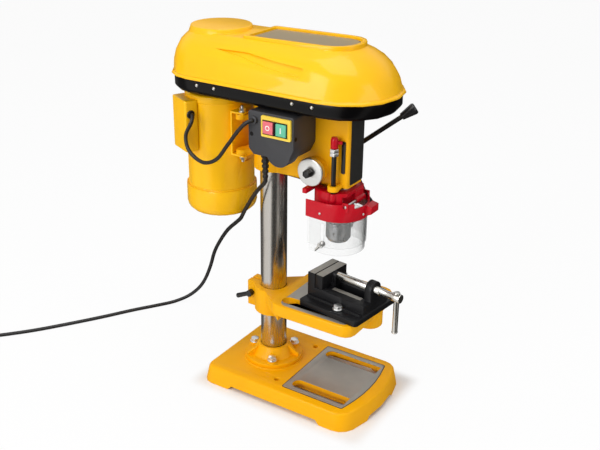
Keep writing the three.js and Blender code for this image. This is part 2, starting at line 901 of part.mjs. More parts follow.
add("vise_body", make_vise_body(), black_cast, vise_group);
add("vise_moving_jaw", make_vise_jaw(), black_cast, vise_group);
add("vise_screw", make_vise_screw(), bright_steel, vise_group);
add("vise_bar", make_vise_bar(), bright_steel, vise_group);

// The vise's two bolts go through its slotted flange and the table's slots, with a nut under the bosses
vise_bolt_place.forEach(([x, y]) => {
  const face = vise_floor + vise_flange_height;
  const nut_top = slot_boss_bottom - seat_gap;
  const depth = face - nut_top + hex_height + washer_height;
  const nut_bottom = nut_top - hex_height;
  const bolt = join(
    hex_bolt(x, y, face, depth),
    hex_post(x, y, nut_bottom, nut_top - washer_height / 2, hex_radius),
    post(x, y, nut_top - washer_height, nut_top, under_washer_radius, 16),
  );
  add(x < 0 ? "vise_bolt_left" : "vise_bolt_right", bolt, zinc);
});

// Head casting: the column's barrel, the quill's box, the feed bosses, the stop lug and the motor's ears

const barrel_radius_outer = column_radius + barrel_wall;
const rack_face = spindle_reach - quill_radius + pinion_radius / 6;
const feed_reach = rack_face - pinion_radius + pinion_radius / 6;
const quill_bore = quill_radius + run_gap;

function make_head() {
  const front_box = upright(
    rounded_rectangle(-head_half_width, head_half_width, -head_front, 0, head_edge),
    head_bottom, head_top);
  const barrel = post(0, 0, head_bottom, head_top, barrel_radius_outer, 24);
  const feed_bosses = bar_x(
    -head_half_width - feed_boss_length,
    head_half_width + feed_boss_length,
    -feed_reach, feed_height, feed_boss_radius, 24);
  const lug = join(
    post(-stop_offset, -stop_reach, head_bottom - cut_over, head_bottom + stop_lug_height - cut_over, stop_lug_radius, 24),
    block(-stop_offset, -head_half_width + cut_over, -stop_reach - stop_lug_radius, -stop_reach + stop_lug_radius,
      head_bottom, head_bottom + stop_lug_height - cut_over),
  );
  const ears = [
    [bracket_top - bracket_sheet - seat_gap - ear_height, bracket_top - bracket_sheet - seat_gap],
    [bracket_bottom + bracket_sheet + seat_gap, bracket_bottom + bracket_sheet + seat_gap + ear_height],
  ].map(([z0, z1]) => join(...[-1, 1].map((side) => join(
    post(side * ear_offset, ear_reach, z0, z1, ear_radius, 12),
    upright(polygon([
      [0, 0],
      [side * ear_offset, ear_reach - ear_radius],
      [side * ear_offset, ear_reach + ear_radius],
      [0, barrel_radius_outer - 1.2 * run_gap],
    ]), z0, z1),
  ))));
  const column_bore = post(0, 0, head_bottom - cut_over, head_top - barrel_wall, column_radius + run_gap, 24);
  const quill_hole = post(0, -spindle_reach, head_bottom - 2 * cut_over, head_top + cut_over, quill_bore, 24);
  const shaft_hole = bar_x(-2 * feed_hub_start, 2 * feed_hub_start, -feed_reach, feed_height, feed_shaft_radius + run_gap);
  const pinion_room = bar_x(
    -pinion_width / 2 - run_gap,
    pinion_width / 2 + run_gap,
    -feed_reach, feed_height, pinion_radius * 1.3, 20);
  const stop_hole = post(-stop_offset, -stop_reach, head_bottom - 2 * cut_over, head_bottom + 2 * stop_lug_height,
    stop_rod_radius + run_gap, 12);
  return cut(
    join(front_box, barrel, feed_bosses, lug, ...ears),
    column_bore, quill_hole, shaft_hole, pinion_room, stop_hole,
  );
}

add("head", make_head(), yellow_paint);

// Quill with its rack, spindle, chuck

const tooth_pitch = (2 * Math.PI * pinion_radius) / pinion_teeth;
const tooth_depth = pinion_radius / 3;

function make_quill() {
  const axis = -spindle_reach;
  const body = turned([
    [0, quill_bottom],
    [quill_nose_radius, quill_bottom],
    [quill_nose_radius, quill_bottom + quill_nose_height],
    [quill_radius, quill_bottom + quill_nose_height],
    [quill_radius, quill_top],
    [0, quill_top],
  ], 0, axis, 24);
  const rack_top = feed_height + quill_travel + rack_depth;
  const flat = block(-rack_depth, rack_depth, -rack_face, -rack_face + quill_radius, feed_height - rack_depth, rack_top);
  const spaces = [];
  const first = feed_height - rack_depth / 2;
  for (let z = feed_height + tooth_pitch / 2; z < rack_top - tooth_pitch / 2; z += tooth_pitch) spaces.push(z);
  for (let z = feed_height - tooth_pitch / 2; z > first - tooth_pitch; z -= tooth_pitch) spaces.push(z);
  const wide = tooth_pitch * 0.36;
  const narrow = tooth_pitch * 0.2;
  const teeth = spaces.map((z) => along_x(polygon([
    [-rack_face + cut_over, z - wide],
    [-rack_face + cut_over, z + wide],
    [-rack_face - tooth_depth, z + narrow],
    [-rack_face - tooth_depth, z - narrow],
  ]), -rack_depth, rack_depth));
  const bore = post(0, axis, quill_bottom - cut_over, quill_top + cut_over, spindle_radius + run_gap, 20);
  return cut(body, flat, ...teeth, bore);
}

const spindle_collar_top = quill_bottom - seat_gap;
const arbor_radius = spindle_radius * 1.2;
const arbor_depth = chuck_height / 4;

function make_spindle() {
  return turned([
    [0, chuck_top - arbor_depth],
    [arbor_radius * 0.9, chuck_top - arbor_depth],
    [arbor_radius, chuck_top],
    [chuck_core_radius, chuck_top + seat_gap],
    [chuck_core_radius, spindle_collar_top],
    [spindle_radius, spindle_collar_top],
    [spindle_radius, spindle_top],
    [0, spindle_top],
  ], 0, -spindle_reach, 20);
}

const chuck_bottom = chuck_top - chuck_height;
const jaw_tilt = jaw_tilt_degrees * degree;
const jaw_angles = [30, 150, 270];

// A point on a jaw's slanting axis at a height above its tip
function jaw_point(angle, rise) {
  const radius = jaw_tip_radius + rise * Math.tan(jaw_tilt);
  return [
    radius * Math.cos(angle * degree),
    radius * Math.sin(angle * degree) - spindle_reach,
    chuck_bottom + cut_over + rise,
  ];
}

function make_chuck_body() {
  const sleeve_top = chuck_top - chuck_back_height;
  const sleeve_bottom = sleeve_top - sleeve_height;
  const body = turned([
    [0, chuck_bottom],
    [chuck_core_radius * 0.7, chuck_bottom],
    [chuck_core_radius, sleeve_bottom],
    [chuck_core_radius, sleeve_top + seat_gap],
    [chuck_radius, sleeve_top + seat_gap],
    [chuck_radius, chuck_top - shield_wall],
    [chuck_radius - shield_wall, chuck_top],
    [0, chuck_top],
  ], 0, -spindle_reach, 24);
  const arbor_hole = turned([
    [0, chuck_top - arbor_depth - run_gap],
    [arbor_radius * 0.9 + run_gap, chuck_top - arbor_depth - run_gap],
    [arbor_radius + run_gap, chuck_top + cut_over],
    [0, chuck_top + cut_over],
  ], 0, -spindle_reach, 20);
  const mouth = post(0, -spindle_reach, chuck_bottom - cut_over, chuck_top - arbor_depth - chuck_back_height, chuck_bore, 24);
  const bores = jaw_angles.map((angle) => rod(
    jaw_point(angle, -2 * cut_over),
    jaw_point(angle, jaw_length + jaw_lift + 2 * run_gap),
    jaw_radius + run_gap));
  return cut(body, arbor_hole, mouth, ...bores);
}

function make_chuck_sleeve() {
  const sleeve_top = chuck_top - chuck_back_height;
  const sleeve_bottom = sleeve_top - sleeve_height;
  const tooth = shield_wall;
  const ring = turned([
    [chuck_core_radius + run_gap, sleeve_bottom],
    [chuck_radius - 2 * tooth, sleeve_bottom],
    [chuck_radius, sleeve_bottom + 3 * tooth],
    [chuck_radius, sleeve_top],
    [chuck_core_radius + run_gap, sleeve_top],
    [chuck_core_radius + run_gap, sleeve_bottom],
  ], 0, -spindle_reach, 24);
  const gashes = [];
  for (let i = 0; i < sleeve_teeth; i += 1) {
    const angle = (i / sleeve_teeth) * 360 * degree;
    const inner = chuck_core_radius + tooth;
    const outer = chuck_radius + tooth;
    gashes.push(rod(
      [inner * Math.cos(angle), inner * Math.sin(angle) - spindle_reach, sleeve_bottom - tooth / 3],
      [outer * Math.cos(angle), outer * Math.sin(angle) - spindle_reach, sleeve_bottom + tooth],
      tooth * 0.7, tooth, 4));
  }
  return cut(ring, ...gashes);
}

add("quill", make_quill(), bright_steel);
add("spindle", make_spindle(), bright_steel);
add("chuck_body", make_chuck_body(), dark_steel);
add("chuck_sleeve", make_chuck_sleeve(), dark_steel);
jaw_angles.forEach((angle, i) => {
  add(`chuck_jaw_${i + 1}`, rod(jaw_point(angle, 0), jaw_point(angle, jaw_length), jaw_radius), dark_steel);
});

// Feed shaft with its pinion, the hub and three handles

function make_feed_hub() {
  const boss_face = head_half_width + feed_boss_length;
  const cap_face = -boss_face - seat_gap - spring_cap_length;
  const stub_radius = feed_shaft_radius - 1.5;
  const stub_end = cap_face - 2 * hex_height;
  const shaft = turned_x([
    [0, stub_end],
    [stub_radius, stub_end],
    [stub_radius, -boss_face],
    [feed_shaft_radius, -boss_face],
    [feed_shaft_radius, feed_hub_start],
    [feed_hub_radius - head_edge, feed_hub_start],
    [feed_hub_radius, feed_hub_start + head_edge],
    [feed_hub_radius, feed_hub_start + feed_hub_length - head_edge],
    [feed_hub_radius - head_edge, feed_hub_start + feed_hub_length],
    [0, feed_hub_start + feed_hub_length],
  ], 0, 0, 20);
  const outline = new THREE.Shape();
  const root = pinion_radius - tooth_depth * 0.7;
  const tip = pinion_radius + tooth_depth * 0.35;
  for (let i = 0; i < pinion_teeth; i += 1) {
    const step = (360 / pinion_teeth) * degree;
    const middle = (i + 0.5) * step;
    for (const [radius, share] of [[root, -0.27], [tip, -0.1], [tip, 0.1], [root, 0.27]]) {
      const angle = middle + share * step;
      const [u, v] = [radius * Math.cos(angle), radius * Math.sin(angle)];
      if (i === 0 && share === -0.27) outline.moveTo(u, v);
      else outline.lineTo(u, v);
    }
  }
  const pinion = along_x(outline, -pinion_width / 2, pinion_width / 2);
  return join(shaft, pinion);
}

const feed_group = new THREE.Group();
feed_group.position.set(0, -feed_reach, feed_height);
machine.add(feed_group);
const spoke_tilt = spoke_tilt_degrees * degree;
const spoke_turns = [0, 120, 240].map((turn) => (spoke_phase_degrees + turn) * degree);

function spoke_point(distance) {
  return [feed_hub_centre + distance * Math.sin(spoke_tilt), 0, distance * Math.cos(spoke_tilt)];
}

const spoke_start = feed_hub_radius - 2 * head_edge;
const knob_start = handle_reach - knob_length;
const spoke_end = knob_start + knob_socket;
const spoke_room = rod(spoke_point(spoke_start - run_gap), spoke_point(spoke_end + run_gap), spoke_radius + run_gap);

function turned_about_x(shape, angle) {
  return shape.transform(new THREE.Matrix4().makeRotationX(angle).elements);
}

add("feed_hub", cut(make_feed_hub(), ...spoke_turns.map((angle) => turned_about_x(spoke_room, angle))), dark_steel, feed_group);

spoke_turns.forEach((angle, i) => {
  const arm = new THREE.Group();
  arm.rotation.x = angle;
  feed_group.add(arm);
  add(`feed_spoke_${i + 1}`, rod(spoke_point(spoke_start), spoke_point(spoke_end), spoke_radius), dark_steel, arm);
  const grip = join(
    rod(spoke_point(knob_start), spoke_point(handle_reach - knob_length / 8), knob_neck_radius, knob_end_radius, 10),
    rod(spoke_point(handle_reach - knob_length / 8), spoke_point(handle_reach), knob_end_radius, knob_end_radius * 0.85, 10),
  );
  add(`feed_knob_${i + 1}`, cut(grip, spoke_room), black_plastic, arm);
});

// Return spring cap on the left end of the feed shaft, with its nuts
const cap_start = -head_half_width - feed_boss_length - seat_gap;
const cap_end = cap_start - spring_cap_length;
const stub_room = feed_shaft_radius - 1.5 + run_gap;
const cap_edge = spring_cap_wall / 2;
add("spring_cap", cut(
  turned_x([
    [0, cap_end],
    [spring_cap_radius - cap_edge, cap_end],
    [spring_cap_radius, cap_end + cap_edge],
    [spring_cap_radius, cap_start],
    [spring_cap_radius - spring_cap_wall, cap_start],
    [spring_cap_radius - spring_cap_wall, cap_end + spring_cap_wall],
    [0, cap_end + spring_cap_wall],
  ], -feed_reach, feed_height, 24),
  bar_x(cap_end - cut_over, cap_start, -feed_reach, feed_height, stub_room),
), zinc);
add("spring_nut", cut(
  join(
    bar_x(cap_end - hex_height, cap_end - seat_gap, -feed_reach, feed_height, hex_radius, 6),
    bar_x(cap_end - hex_height * 1.1, cap_end - hex_height / 2, -feed_reach, feed_height, hex_radius * 0.8, 12),
    bar_x(cap_end - hex_height * 2, cap_end - hex_height * 1.1, -feed_reach, feed_height, hex_radius * 0.9, 6),
  ),
  bar_x(cap_end - hex_height * 3, cap_end + cut_over, -feed_reach, feed_height, stub_room),
), zinc);

// Depth stop: the rod rides on the guard's carrier, its nuts meet the head's lug

const stop_top = stop_rod_foot + stop_rod_length;
add("depth_rod", post(-stop_offset, -stop_reach, stop_rod_foot, stop_top, stop_rod_radius, 12), black_cast);
add("depth_nuts", cut(
  join(
    hex_post(-stop_offset, -stop_reach, stop_nut_height, stop_nut_height + hex_height, hex_radius),
    post(-stop_offset, -stop_reach, stop_nut_height + hex_height / 2, stop_nut_height + 1.5 * hex_height, hex_radius * 0.82, 12),
    hex_post(-stop_offset, -stop_reach, stop_nut_height + 1.1 * hex_height, stop_nut_height + 2.1 * hex_height, hex_radius),
  ),
  post(-stop_offset, -stop_reach, stop_nut_height - cut_over, stop_nut_height + 3 * hex_height, stop_rod_radius + run_gap, 12),
), zinc);

const scale_reach = head_front - head_edge - scale_width / 2;
const pointer_foot = stop_nut_height + 2.1 * hex_height + 2 * run_gap;
add("depth_pointer", cut(
  join(
    turned([
      [0, pointer_foot],
      [pointer_radius, pointer_foot],
      [pointer_radius, pointer_foot + pointer_height * 0.8],
      [pointer_radius * 0.7, pointer_foot + pointer_height],
      [0, pointer_foot + pointer_height],
    ], -stop_offset, -stop_reach, 12),
    rod([-stop_offset, -stop_reach, stop_top - pointer_radius / 2],
      [-head_half_width - 2 * pointer_radius / 3 - scale_thickness, -scale_reach, stop_top - pointer_radius / 2],
      pointer_radius / 2, pointer_radius / 2, 12),
  ),
  post(-stop_offset, -stop_reach, pointer_foot - cut_over, stop_top + run_gap, stop_rod_radius + run_gap, 12),
), red_plastic);
add("depth_scale", along_x(
  rounded_rectangle(-scale_reach - scale_width / 2, -scale_reach + scale_width / 2, scale_foot, scale_foot + scale_length, scale_width / 4),
  -head_half_width - seat_gap - scale_thickness, -head_half_width - seat_gap, 2), black_plastic);

// Switch box on the head's left side

const gland_face = -box_face - lead_gland_length;

function make_switch_box() {
  const outline = new THREE.Shape();
  outline.moveTo(-box_rear - box_chamfer, box_bottom);
  outline.lineTo(-box_rear, box_bottom + box_chamfer);
  outline.absarc(-box_rear - box_corner, box_top - box_corner, box_corner, 0, 90 * degree);
  outline.absarc(-box_front + box_corner, box_top - box_corner, box_corner, 90 * degree, 180 * degree);
  outline.lineTo(-box_front, box_bottom + 2 * box_chamfer);
  outline.lineTo(-box_front + box_chamfer, box_bottom);
  const body = along_x(outline, -box_face, -head_half_width - seat_gap, 4);
  const tongue = new THREE.Shape();
  tongue.moveTo(-tongue_centre + tongue_radius, box_bottom + 3 * box_corner);
  tongue.lineTo(-tongue_centre - tongue_radius, box_bottom + 3 * box_corner);
  tongue.lineTo(-tongue_centre - tongue_radius, tongue_bottom + tongue_radius);
  tongue.absarc(-tongue_centre, tongue_bottom + tongue_radius, tongue_radius, 180 * degree, 360 * degree);
  const chin = along_x(tongue, -box_face, tongue_depth - box_face, 9);
  const gland = turned_x([
    [0, gland_face],
    [lead_gland_radius, gland_face],
    [lead_gland_radius, cut_over - box_face],
    [0, cut_over - box_face],
  ], -lead_gland_reach, lead_gland_height, 24);
  const barrel_room = post(0, 0, head_bottom, head_top, barrel_radius_outer + seat_gap, 24);
  const ear_room = post(-ear_offset, ear_reach, head_bottom, head_top, ear_radius + seat_gap, 20);
  const switch_room = block(
    -box_face - cut_over,
    -box_face + 2 * button_depth,
    -frame_front + box_corner,
    -frame_rear - box_corner,
    button_bottom - 2 * button_gap,
    button_top + 2 * button_gap,
  );
  const relief_hole = post(-relief_offset, -relief_reach - box_chamfer / 2, box_bottom - cut_over, box_bottom + 2 * box_chamfer,
    relief_top_radius + run_gap, 20);
  return cut(join(body, chin, gland), barrel_room, ear_room, switch_room, relief_hole);
}

function make_switch_frame() {
  const outer = along_x(
    rounded_rectangle(-frame_front, -frame_rear, frame_bottom, frame_top, frame_depth / 2),
    -box_face - seat_gap - frame_depth, -box_face - seat_gap);
  const windows = button_places.map(([, reach]) => block(
    -box_face - 2 * frame_depth,
    -box_face + cut_over,
    -reach - button_half - button_gap,
    -reach + button_half + button_gap,
    button_bottom - button_gap,
    button_top + button_gap,
  ));
  return cut(outer, ...windows);
}

add("switch_box", make_switch_box(), black_plastic);
add("switch_frame", make_switch_frame(), frame_yellow);
for (const [name, reach] of button_places) {
  add(name, block(
    -box_face - seat_gap - frame_depth - button_stand_out,
    -box_face - seat_gap - frame_depth + button_depth,
    -reach - button_half,
    -reach + button_half,
    button_bottom,
    button_top,
  ), name === "stop_button" ? red_button : green_button);
}

// Strain relief under the box: a ribbed taper, square to the lead that leaves it
const relief_top = box_bottom + box_chamfer - seat_gap;
const relief_foot = relief_top - relief_length;
const relief_x = -relief_offset;
const relief_y = -relief_reach - box_chamfer / 2;

function make_relief() {
  const ribs = 4;
  const profile = [[0, relief_foot]];
  const rib_pitch = relief_length / (2 * ribs + 5);
  for (let i = 0; i < ribs; i += 1) {
    const share = i / ribs;
    const radius = relief_end_radius + (relief_top_radius - relief_end_radius) * share;
    const z = relief_foot + 2 * i * rib_pitch;
    profile.push([radius, z], [radius, z + rib_pitch], [0.8 * radius, z + rib_pitch], [0.8 * radius, z + 2 * rib_pitch]);
  }
  profile.push([relief_top_radius, relief_foot + 2 * ribs * rib_pitch], [relief_top_radius, relief_top], [0, relief_top]);
  return turned(profile, relief_x, relief_y, 8);
}

add("strain_relief", make_relief(), rubber);

// Motor: body, fan cover, terminal box and the bracket that hangs it on the head's ears

const spigot_radius = fan_cover_radius - sheet_wall - seat_gap;

function make_motor_body() {
  const body = turned([
    [0, motor_bottom],
    [spigot_radius, motor_bottom],
    [spigot_radius, fan_cover_top + sheet_wall],
    [motor_radius, fan_cover_top + sheet_wall],
    [motor_radius, motor_top - motor_flange_height],
    [motor_flange_radius, motor_top - motor_flange_height + sheet_wall],
    [motor_flange_radius, motor_top - sheet_wall],
    [motor_flange_radius - sheet_wall, motor_top],
    [0, motor_top],
  ], 0, motor_reach, 24);
  const shaft_hole = post(0, motor_reach, motor_top - shaft_seat, motor_top + cut_over, motor_shaft_radius + run_gap, 24);
  const flat_face = motor_reach - motor_radius + sheet_wall;
  const bracket_flat = block(-bracket_half_width, bracket_half_width, 0, flat_face, head_bottom, bracket_top + seat_gap);
  return cut(body, shaft_hole, bracket_flat);
}

const bracket_back = motor_reach - motor_radius + sheet_wall - seat_gap;

function make_bracket() {
  const front = ear_reach - ear_radius;
  const channel = along_x(polygon([
    [front, bracket_bottom],
    [bracket_back, bracket_bottom],
    [bracket_back, bracket_top],
    [front, bracket_top],
    [front, bracket_top - bracket_sheet],
    [bracket_back - bracket_sheet, bracket_top - bracket_sheet],
    [bracket_back - bracket_sheet, bracket_bottom + bracket_sheet],
    [front, bracket_bottom + bracket_sheet],
  ]), -bracket_half_width, bracket_half_width);
  const barrel_room = post(0, 0, bracket_bottom - cut_over, bracket_top + cut_over, barrel_radius_outer + bracket_sheet, 24);
  return cut(channel, barrel_room);
}

function make_fan_cover() {
  const steps = 3;
  const outer = [[0, fan_cover_bottom]];
  const inner = [];
  for (let i = 0; i <= steps; i += 1) {
    const angle = ((90 * i) / steps) * degree;
    const dx = fan_cover_corner * Math.sin(angle);
    const dz = fan_cover_corner * (1 - Math.cos(angle));
    outer.push([fan_cover_radius - fan_cover_corner + dx, fan_cover_bottom + dz]);
    inner.unshift([fan_cover_radius - fan_cover_corner + dx - sheet_wall * Math.sin(angle),
      fan_cover_bottom + dz + sheet_wall * Math.cos(angle)]);
  }
  outer.push([fan_cover_radius, fan_cover_top]);
  inner.unshift([fan_cover_radius - sheet_wall, fan_cover_top]);
  inner.push([0, fan_cover_bottom + sheet_wall]);
  const cup = turned([...outer, ...inner], 0, motor_reach, 24);
  const slots = [];
  for (let i = 0; i < vent_slots; i += 1) {
    const angle = (i / vent_slots) * 360 * degree;
    const near = fan_cover_radius / 4;
    const far = fan_cover_radius - fan_cover_corner;
    const turn = new THREE.Matrix4().makeRotationZ(angle).setPosition(0, motor_reach, 0);
    const room = block(near, far, -sheet_wall, sheet_wall, fan_cover_bottom - cut_over, fan_cover_bottom + 2 * sheet_wall);
    slots.push(room.transform(turn.elements));
  }
  return cut(cup, ...slots);
}

function make_terminal_box() {
  const near = motor_radius / 2;
  const far = motor_radius + terminal_stand_out;
  const case_outline = rounded_rectangle(near, far, -terminal_width / 2, terminal_width / 2, sheet_wall * 2);
  const turn = new THREE.Matrix4().makeRotationZ(terminal_turn_degrees * degree).setPosition(0, motor_reach, 0);
  const body = upright(case_outline, terminal_bottom, terminal_top).transform(turn.elements);
  const motor_room = post(0, motor_reach, terminal_bottom - cut_over, motor_top, motor_flange_radius + seat_gap, 24);
  return cut(body, motor_room);
}

add("motor_body", make_motor_body(), yellow_paint);
add("motor_bracket", make_bracket(), yellow_paint);
add("motor_fan_cover", make_fan_cover(), yellow_paint);
add("motor_terminal_box", make_terminal_box(), yellow_paint);

// Belt drive: two stepped pulleys, one turned over, and the belt on their matching steps

function pulley_profile(radii, foot) {
  const groove = belt_depth;
  const profile = [];
  radii.forEach((radius, i) => {
    const z = foot + i * step_height;
    const outer = radius + pulley_lip;
    profile.push([outer, z], [radius - groove, z + step_height / 2], [outer, z + step_height]);
  });
  return profile;
}

const pulley_height = pulley_steps.length * step_height;
const pulley_top = pulley_foot + pulley_height;
const motor_steps = [...pulley_steps].reverse();

function make_spindle_pulley() {
  const body = turned([
    [0, quill_top + 2 * cut_over],
    [quill_radius, quill_top + 2 * cut_over],
    [quill_radius, pulley_foot],
    ...pulley_profile(pulley_steps, pulley_foot),
    [0, pulley_top],
  ], 0, -spindle_reach, 12);
  return cut(body, post(0, -spindle_reach, quill_top, pulley_top + cut_over, spindle_radius + run_gap, 20));
}

function make_motor_pulley() {
  return turned([
    [0, motor_top - shaft_seat + run_gap],
    [motor_shaft_radius, motor_top - shaft_seat + run_gap],
    [motor_shaft_radius, pulley_foot],
    ...pulley_profile(motor_steps, pulley_foot),
    [motor_shaft_radius, pulley_top],
    [motor_shaft_radius, pulley_top + 2 * cut_over],
    [0, pulley_top + 2 * cut_over],
  ], 0, motor_reach, 12);
}

// The belt's outline round both pulleys, grown outwards by a given amount
function belt_outline(spindle_side, motor_side, grow) {
  const distance = spindle_reach + motor_reach;
  const lean = Math.asin((spindle_side - motor_side) / distance) / degree;
  const front = arc_points(0, -spindle_reach, spindle_side + grow, 180 - lean, 360 + lean, 14);
  const back = arc_points(0, motor_reach, motor_side + grow, lean, 180 - lean, 10);
  return [...front, ...back];
}

function make_belt() {
  const spindle_side = pulley_steps[belt_step];
  const motor_side = motor_steps[belt_step];
  const middle = pulley_foot + (belt_step + 0.5) * step_height;
  const outer = 2 * pulley_lip;
  const loop = (grow, half) => belt_outline(spindle_side, motor_side, grow)
    .map(([x, y]) => new THREE.Vector3(x, y, middle + half));
  const half = belt_width / 2;
  const body = loft([loop(outer, -half), loop(outer, half)]);
  const room = loft([loop(outer - belt_depth / 2, -half - cut_over), loop(outer - belt_depth / 2, half + cut_over)]);
  return cut(body, room);
}

add("spindle_pulley", make_spindle_pulley(), bright_steel);
add("motor_pulley", make_motor_pulley(), bright_steel);
add("drive_belt", make_belt(), rubber);

// Belt housing: the black tray and the domed yellow cover on it

const housing_plan = {
  half_width: housing_half_width,
  back: housing_back,
  front: housing_front,
  rear_corner: housing_rear_corner,
  front_corner: housing_half_width - head_edge,
  corner_steps: cover_corner_steps,
};
const tray_bottom = head_top + seat_gap;
const tray_top = tray_bottom + tray_height;

function make_tray() {
  const body = loft([
    plan_loop(inset_plan(housing_plan, tray_foot_inset), tray_bottom),
    plan_loop(inset_plan(housing_plan, tray_foot_inset / 2), tray_bottom + tray_foot_inset / 2),
    plan_loop(inset_plan(housing_plan, housing_wall / 2), tray_bottom + tray_foot_inset),
    plan_loop(inset_plan(housing_plan, housing_wall / 2), tray_top),
  ]);
  const room = loft([
    plan_loop(inset_plan(housing_plan, tray_foot_inset + housing_wall), tray_bottom + housing_wall),
    plan_loop(inset_plan(housing_plan, 1.5 * housing_wall), tray_bottom + tray_foot_inset + housing_wall),
    plan_loop(inset_plan(housing_plan, 1.5 * housing_wall), tray_top + cut_over),
  ]);
  const spindle_hole = post(0, -spindle_reach, tray_bottom - cut_over, tray_top, quill_bore + housing_wall / 2, 20);
  const motor_hole = post(0, motor_reach, tray_bottom - cut_over, tray_top, motor_shaft_radius * 2.4, 24);
  return cut(body, room, spindle_hole, motor_hole);
}

// How far each level of the cover lies inside its rim, as shares of its height, side, front and back
const cover_level_shares = [
  { rise: 0.36, side: 0.05, front: 0.13, back: 0.04 },
  { rise: 0.58, side: 0.16, front: 0.3, back: 0.14 },
  { rise: 0.76, side: 0.36, front: 0.52, back: 0.3 },
  { rise: 0.9, side: 0.64, front: 0.78, back: 0.6 },
  { rise: 1, side: 1, front: 1, back: 1 },
];
const cover_foot = tray_top + seat_gap;
const cover_front_run = 61;
const cover_back_run = 25;

function cover_loops(inset, lift, from_rim, stride = 1) {
  const plan = (side, front, back) => ({
    half_width: housing_half_width - side - inset,
    front: housing_front - front - inset,
    back: housing_back - back - inset,
    rear_corner: housing_rear_corner - Math.min(back, housing_rear_corner / 2),
    front_corner: housing_half_width - side - inset - head_edge,
    corner_steps: cover_corner_steps,
  });
  const side_run = housing_half_width - cover_top_half_width;
  const last = cover_level_shares.length - 1;
  const levels = cover_level_shares.filter((level, i) => (last - i) % stride === 0).map(({ rise, side, front, back }) =>
    plan_loop(plan(side * side_run, front * cover_front_run, back * cover_back_run), cover_foot + rise * cover_height - lift));
  return [plan_loop(plan(0, 0, 0), from_rim), ...levels];
}

function bezel_loop(inset, z_front, z_back) {
  const back = cover_top_half_width / 2 + head_edge;
  const front = housing_front - cover_front_run;
  const plan = {
    half_width: cover_top_half_width - inset,
    back: back - inset,
    front: front - inset,
    rear_corner: head_edge,
    front_corner: cover_top_half_width - inset - head_edge,
    corner_steps: cover_corner_steps,
  };
  return plan_loop(plan, 0).map((point) => {
    const share = (point.y + front) / (front + back);
    return new THREE.Vector3(point.x, point.y, z_front + (z_back - z_front) * share);
  });
}

function make_cover() {
  const rim_plan = inset_plan(housing_plan, -rim_stand_out);
  const rim = loft([
    plan_loop(rim_plan, cover_foot),
    plan_loop(rim_plan, cover_foot + rim_height / 2),
    plan_loop(housing_plan, cover_foot + rim_height),
  ]);
  const dome = loft(cover_loops(0, 0, cover_foot));
  const top = cover_foot + cover_height;
  const bezel = loft([
    bezel_loop(0, top - bezel_height * 2, top - bezel_height * 2),
    bezel_loop(0, top + bezel_height + bezel_rise, top + bezel_height - bezel_rise / 2),
  ]);
  const recess = loft([
    bezel_loop(bezel_wall, top + bezel_height / 2, top),
    bezel_loop(bezel_wall, top + 3 * bezel_height + bezel_rise, top + 3 * bezel_height + bezel_rise),
  ]);
  const hump_top = top + bezel_height + hump_height;
  const hump = turned([
    [0, top - cover_height / 3],
    [hump_foot_radius, top - cover_height / 3],
    [hump_radius, hump_top - cut_over / 2],
    [hump_radius - cut_over / 2, hump_top],
    [0, hump_top],
  ], 0, hump_reach, 24);
  const swoosh = polygon(swoosh_points);
  const outermost = housing_half_width + rim_stand_out;
  const floor = loft(cover_loops(swoosh_depth, swoosh_depth / 2, cover_foot));
  const swooshes = [
    cut(along_x(swoosh, -outermost, -cover_top_half_width), floor),
    cut(along_x(swoosh, cover_top_half_width, outermost), floor),
  ];
  const room = loft(cover_loops(housing_wall + swoosh_depth, housing_wall, cover_foot - cut_over, 2));
  const hump_room = post(0, hump_reach, cover_foot, hump_top - housing_wall, hump_radius - housing_wall, 24);
  return cut(join(rim, dome, bezel, hump), recess, ...swooshes, room, hump_room);
}

add("belt_tray", make_tray(), black_plastic);
add("belt_cover", make_cover(), yellow_paint);

// Chuck guard: the carrier grips the quill, the band swings up on its pin, two clear shields

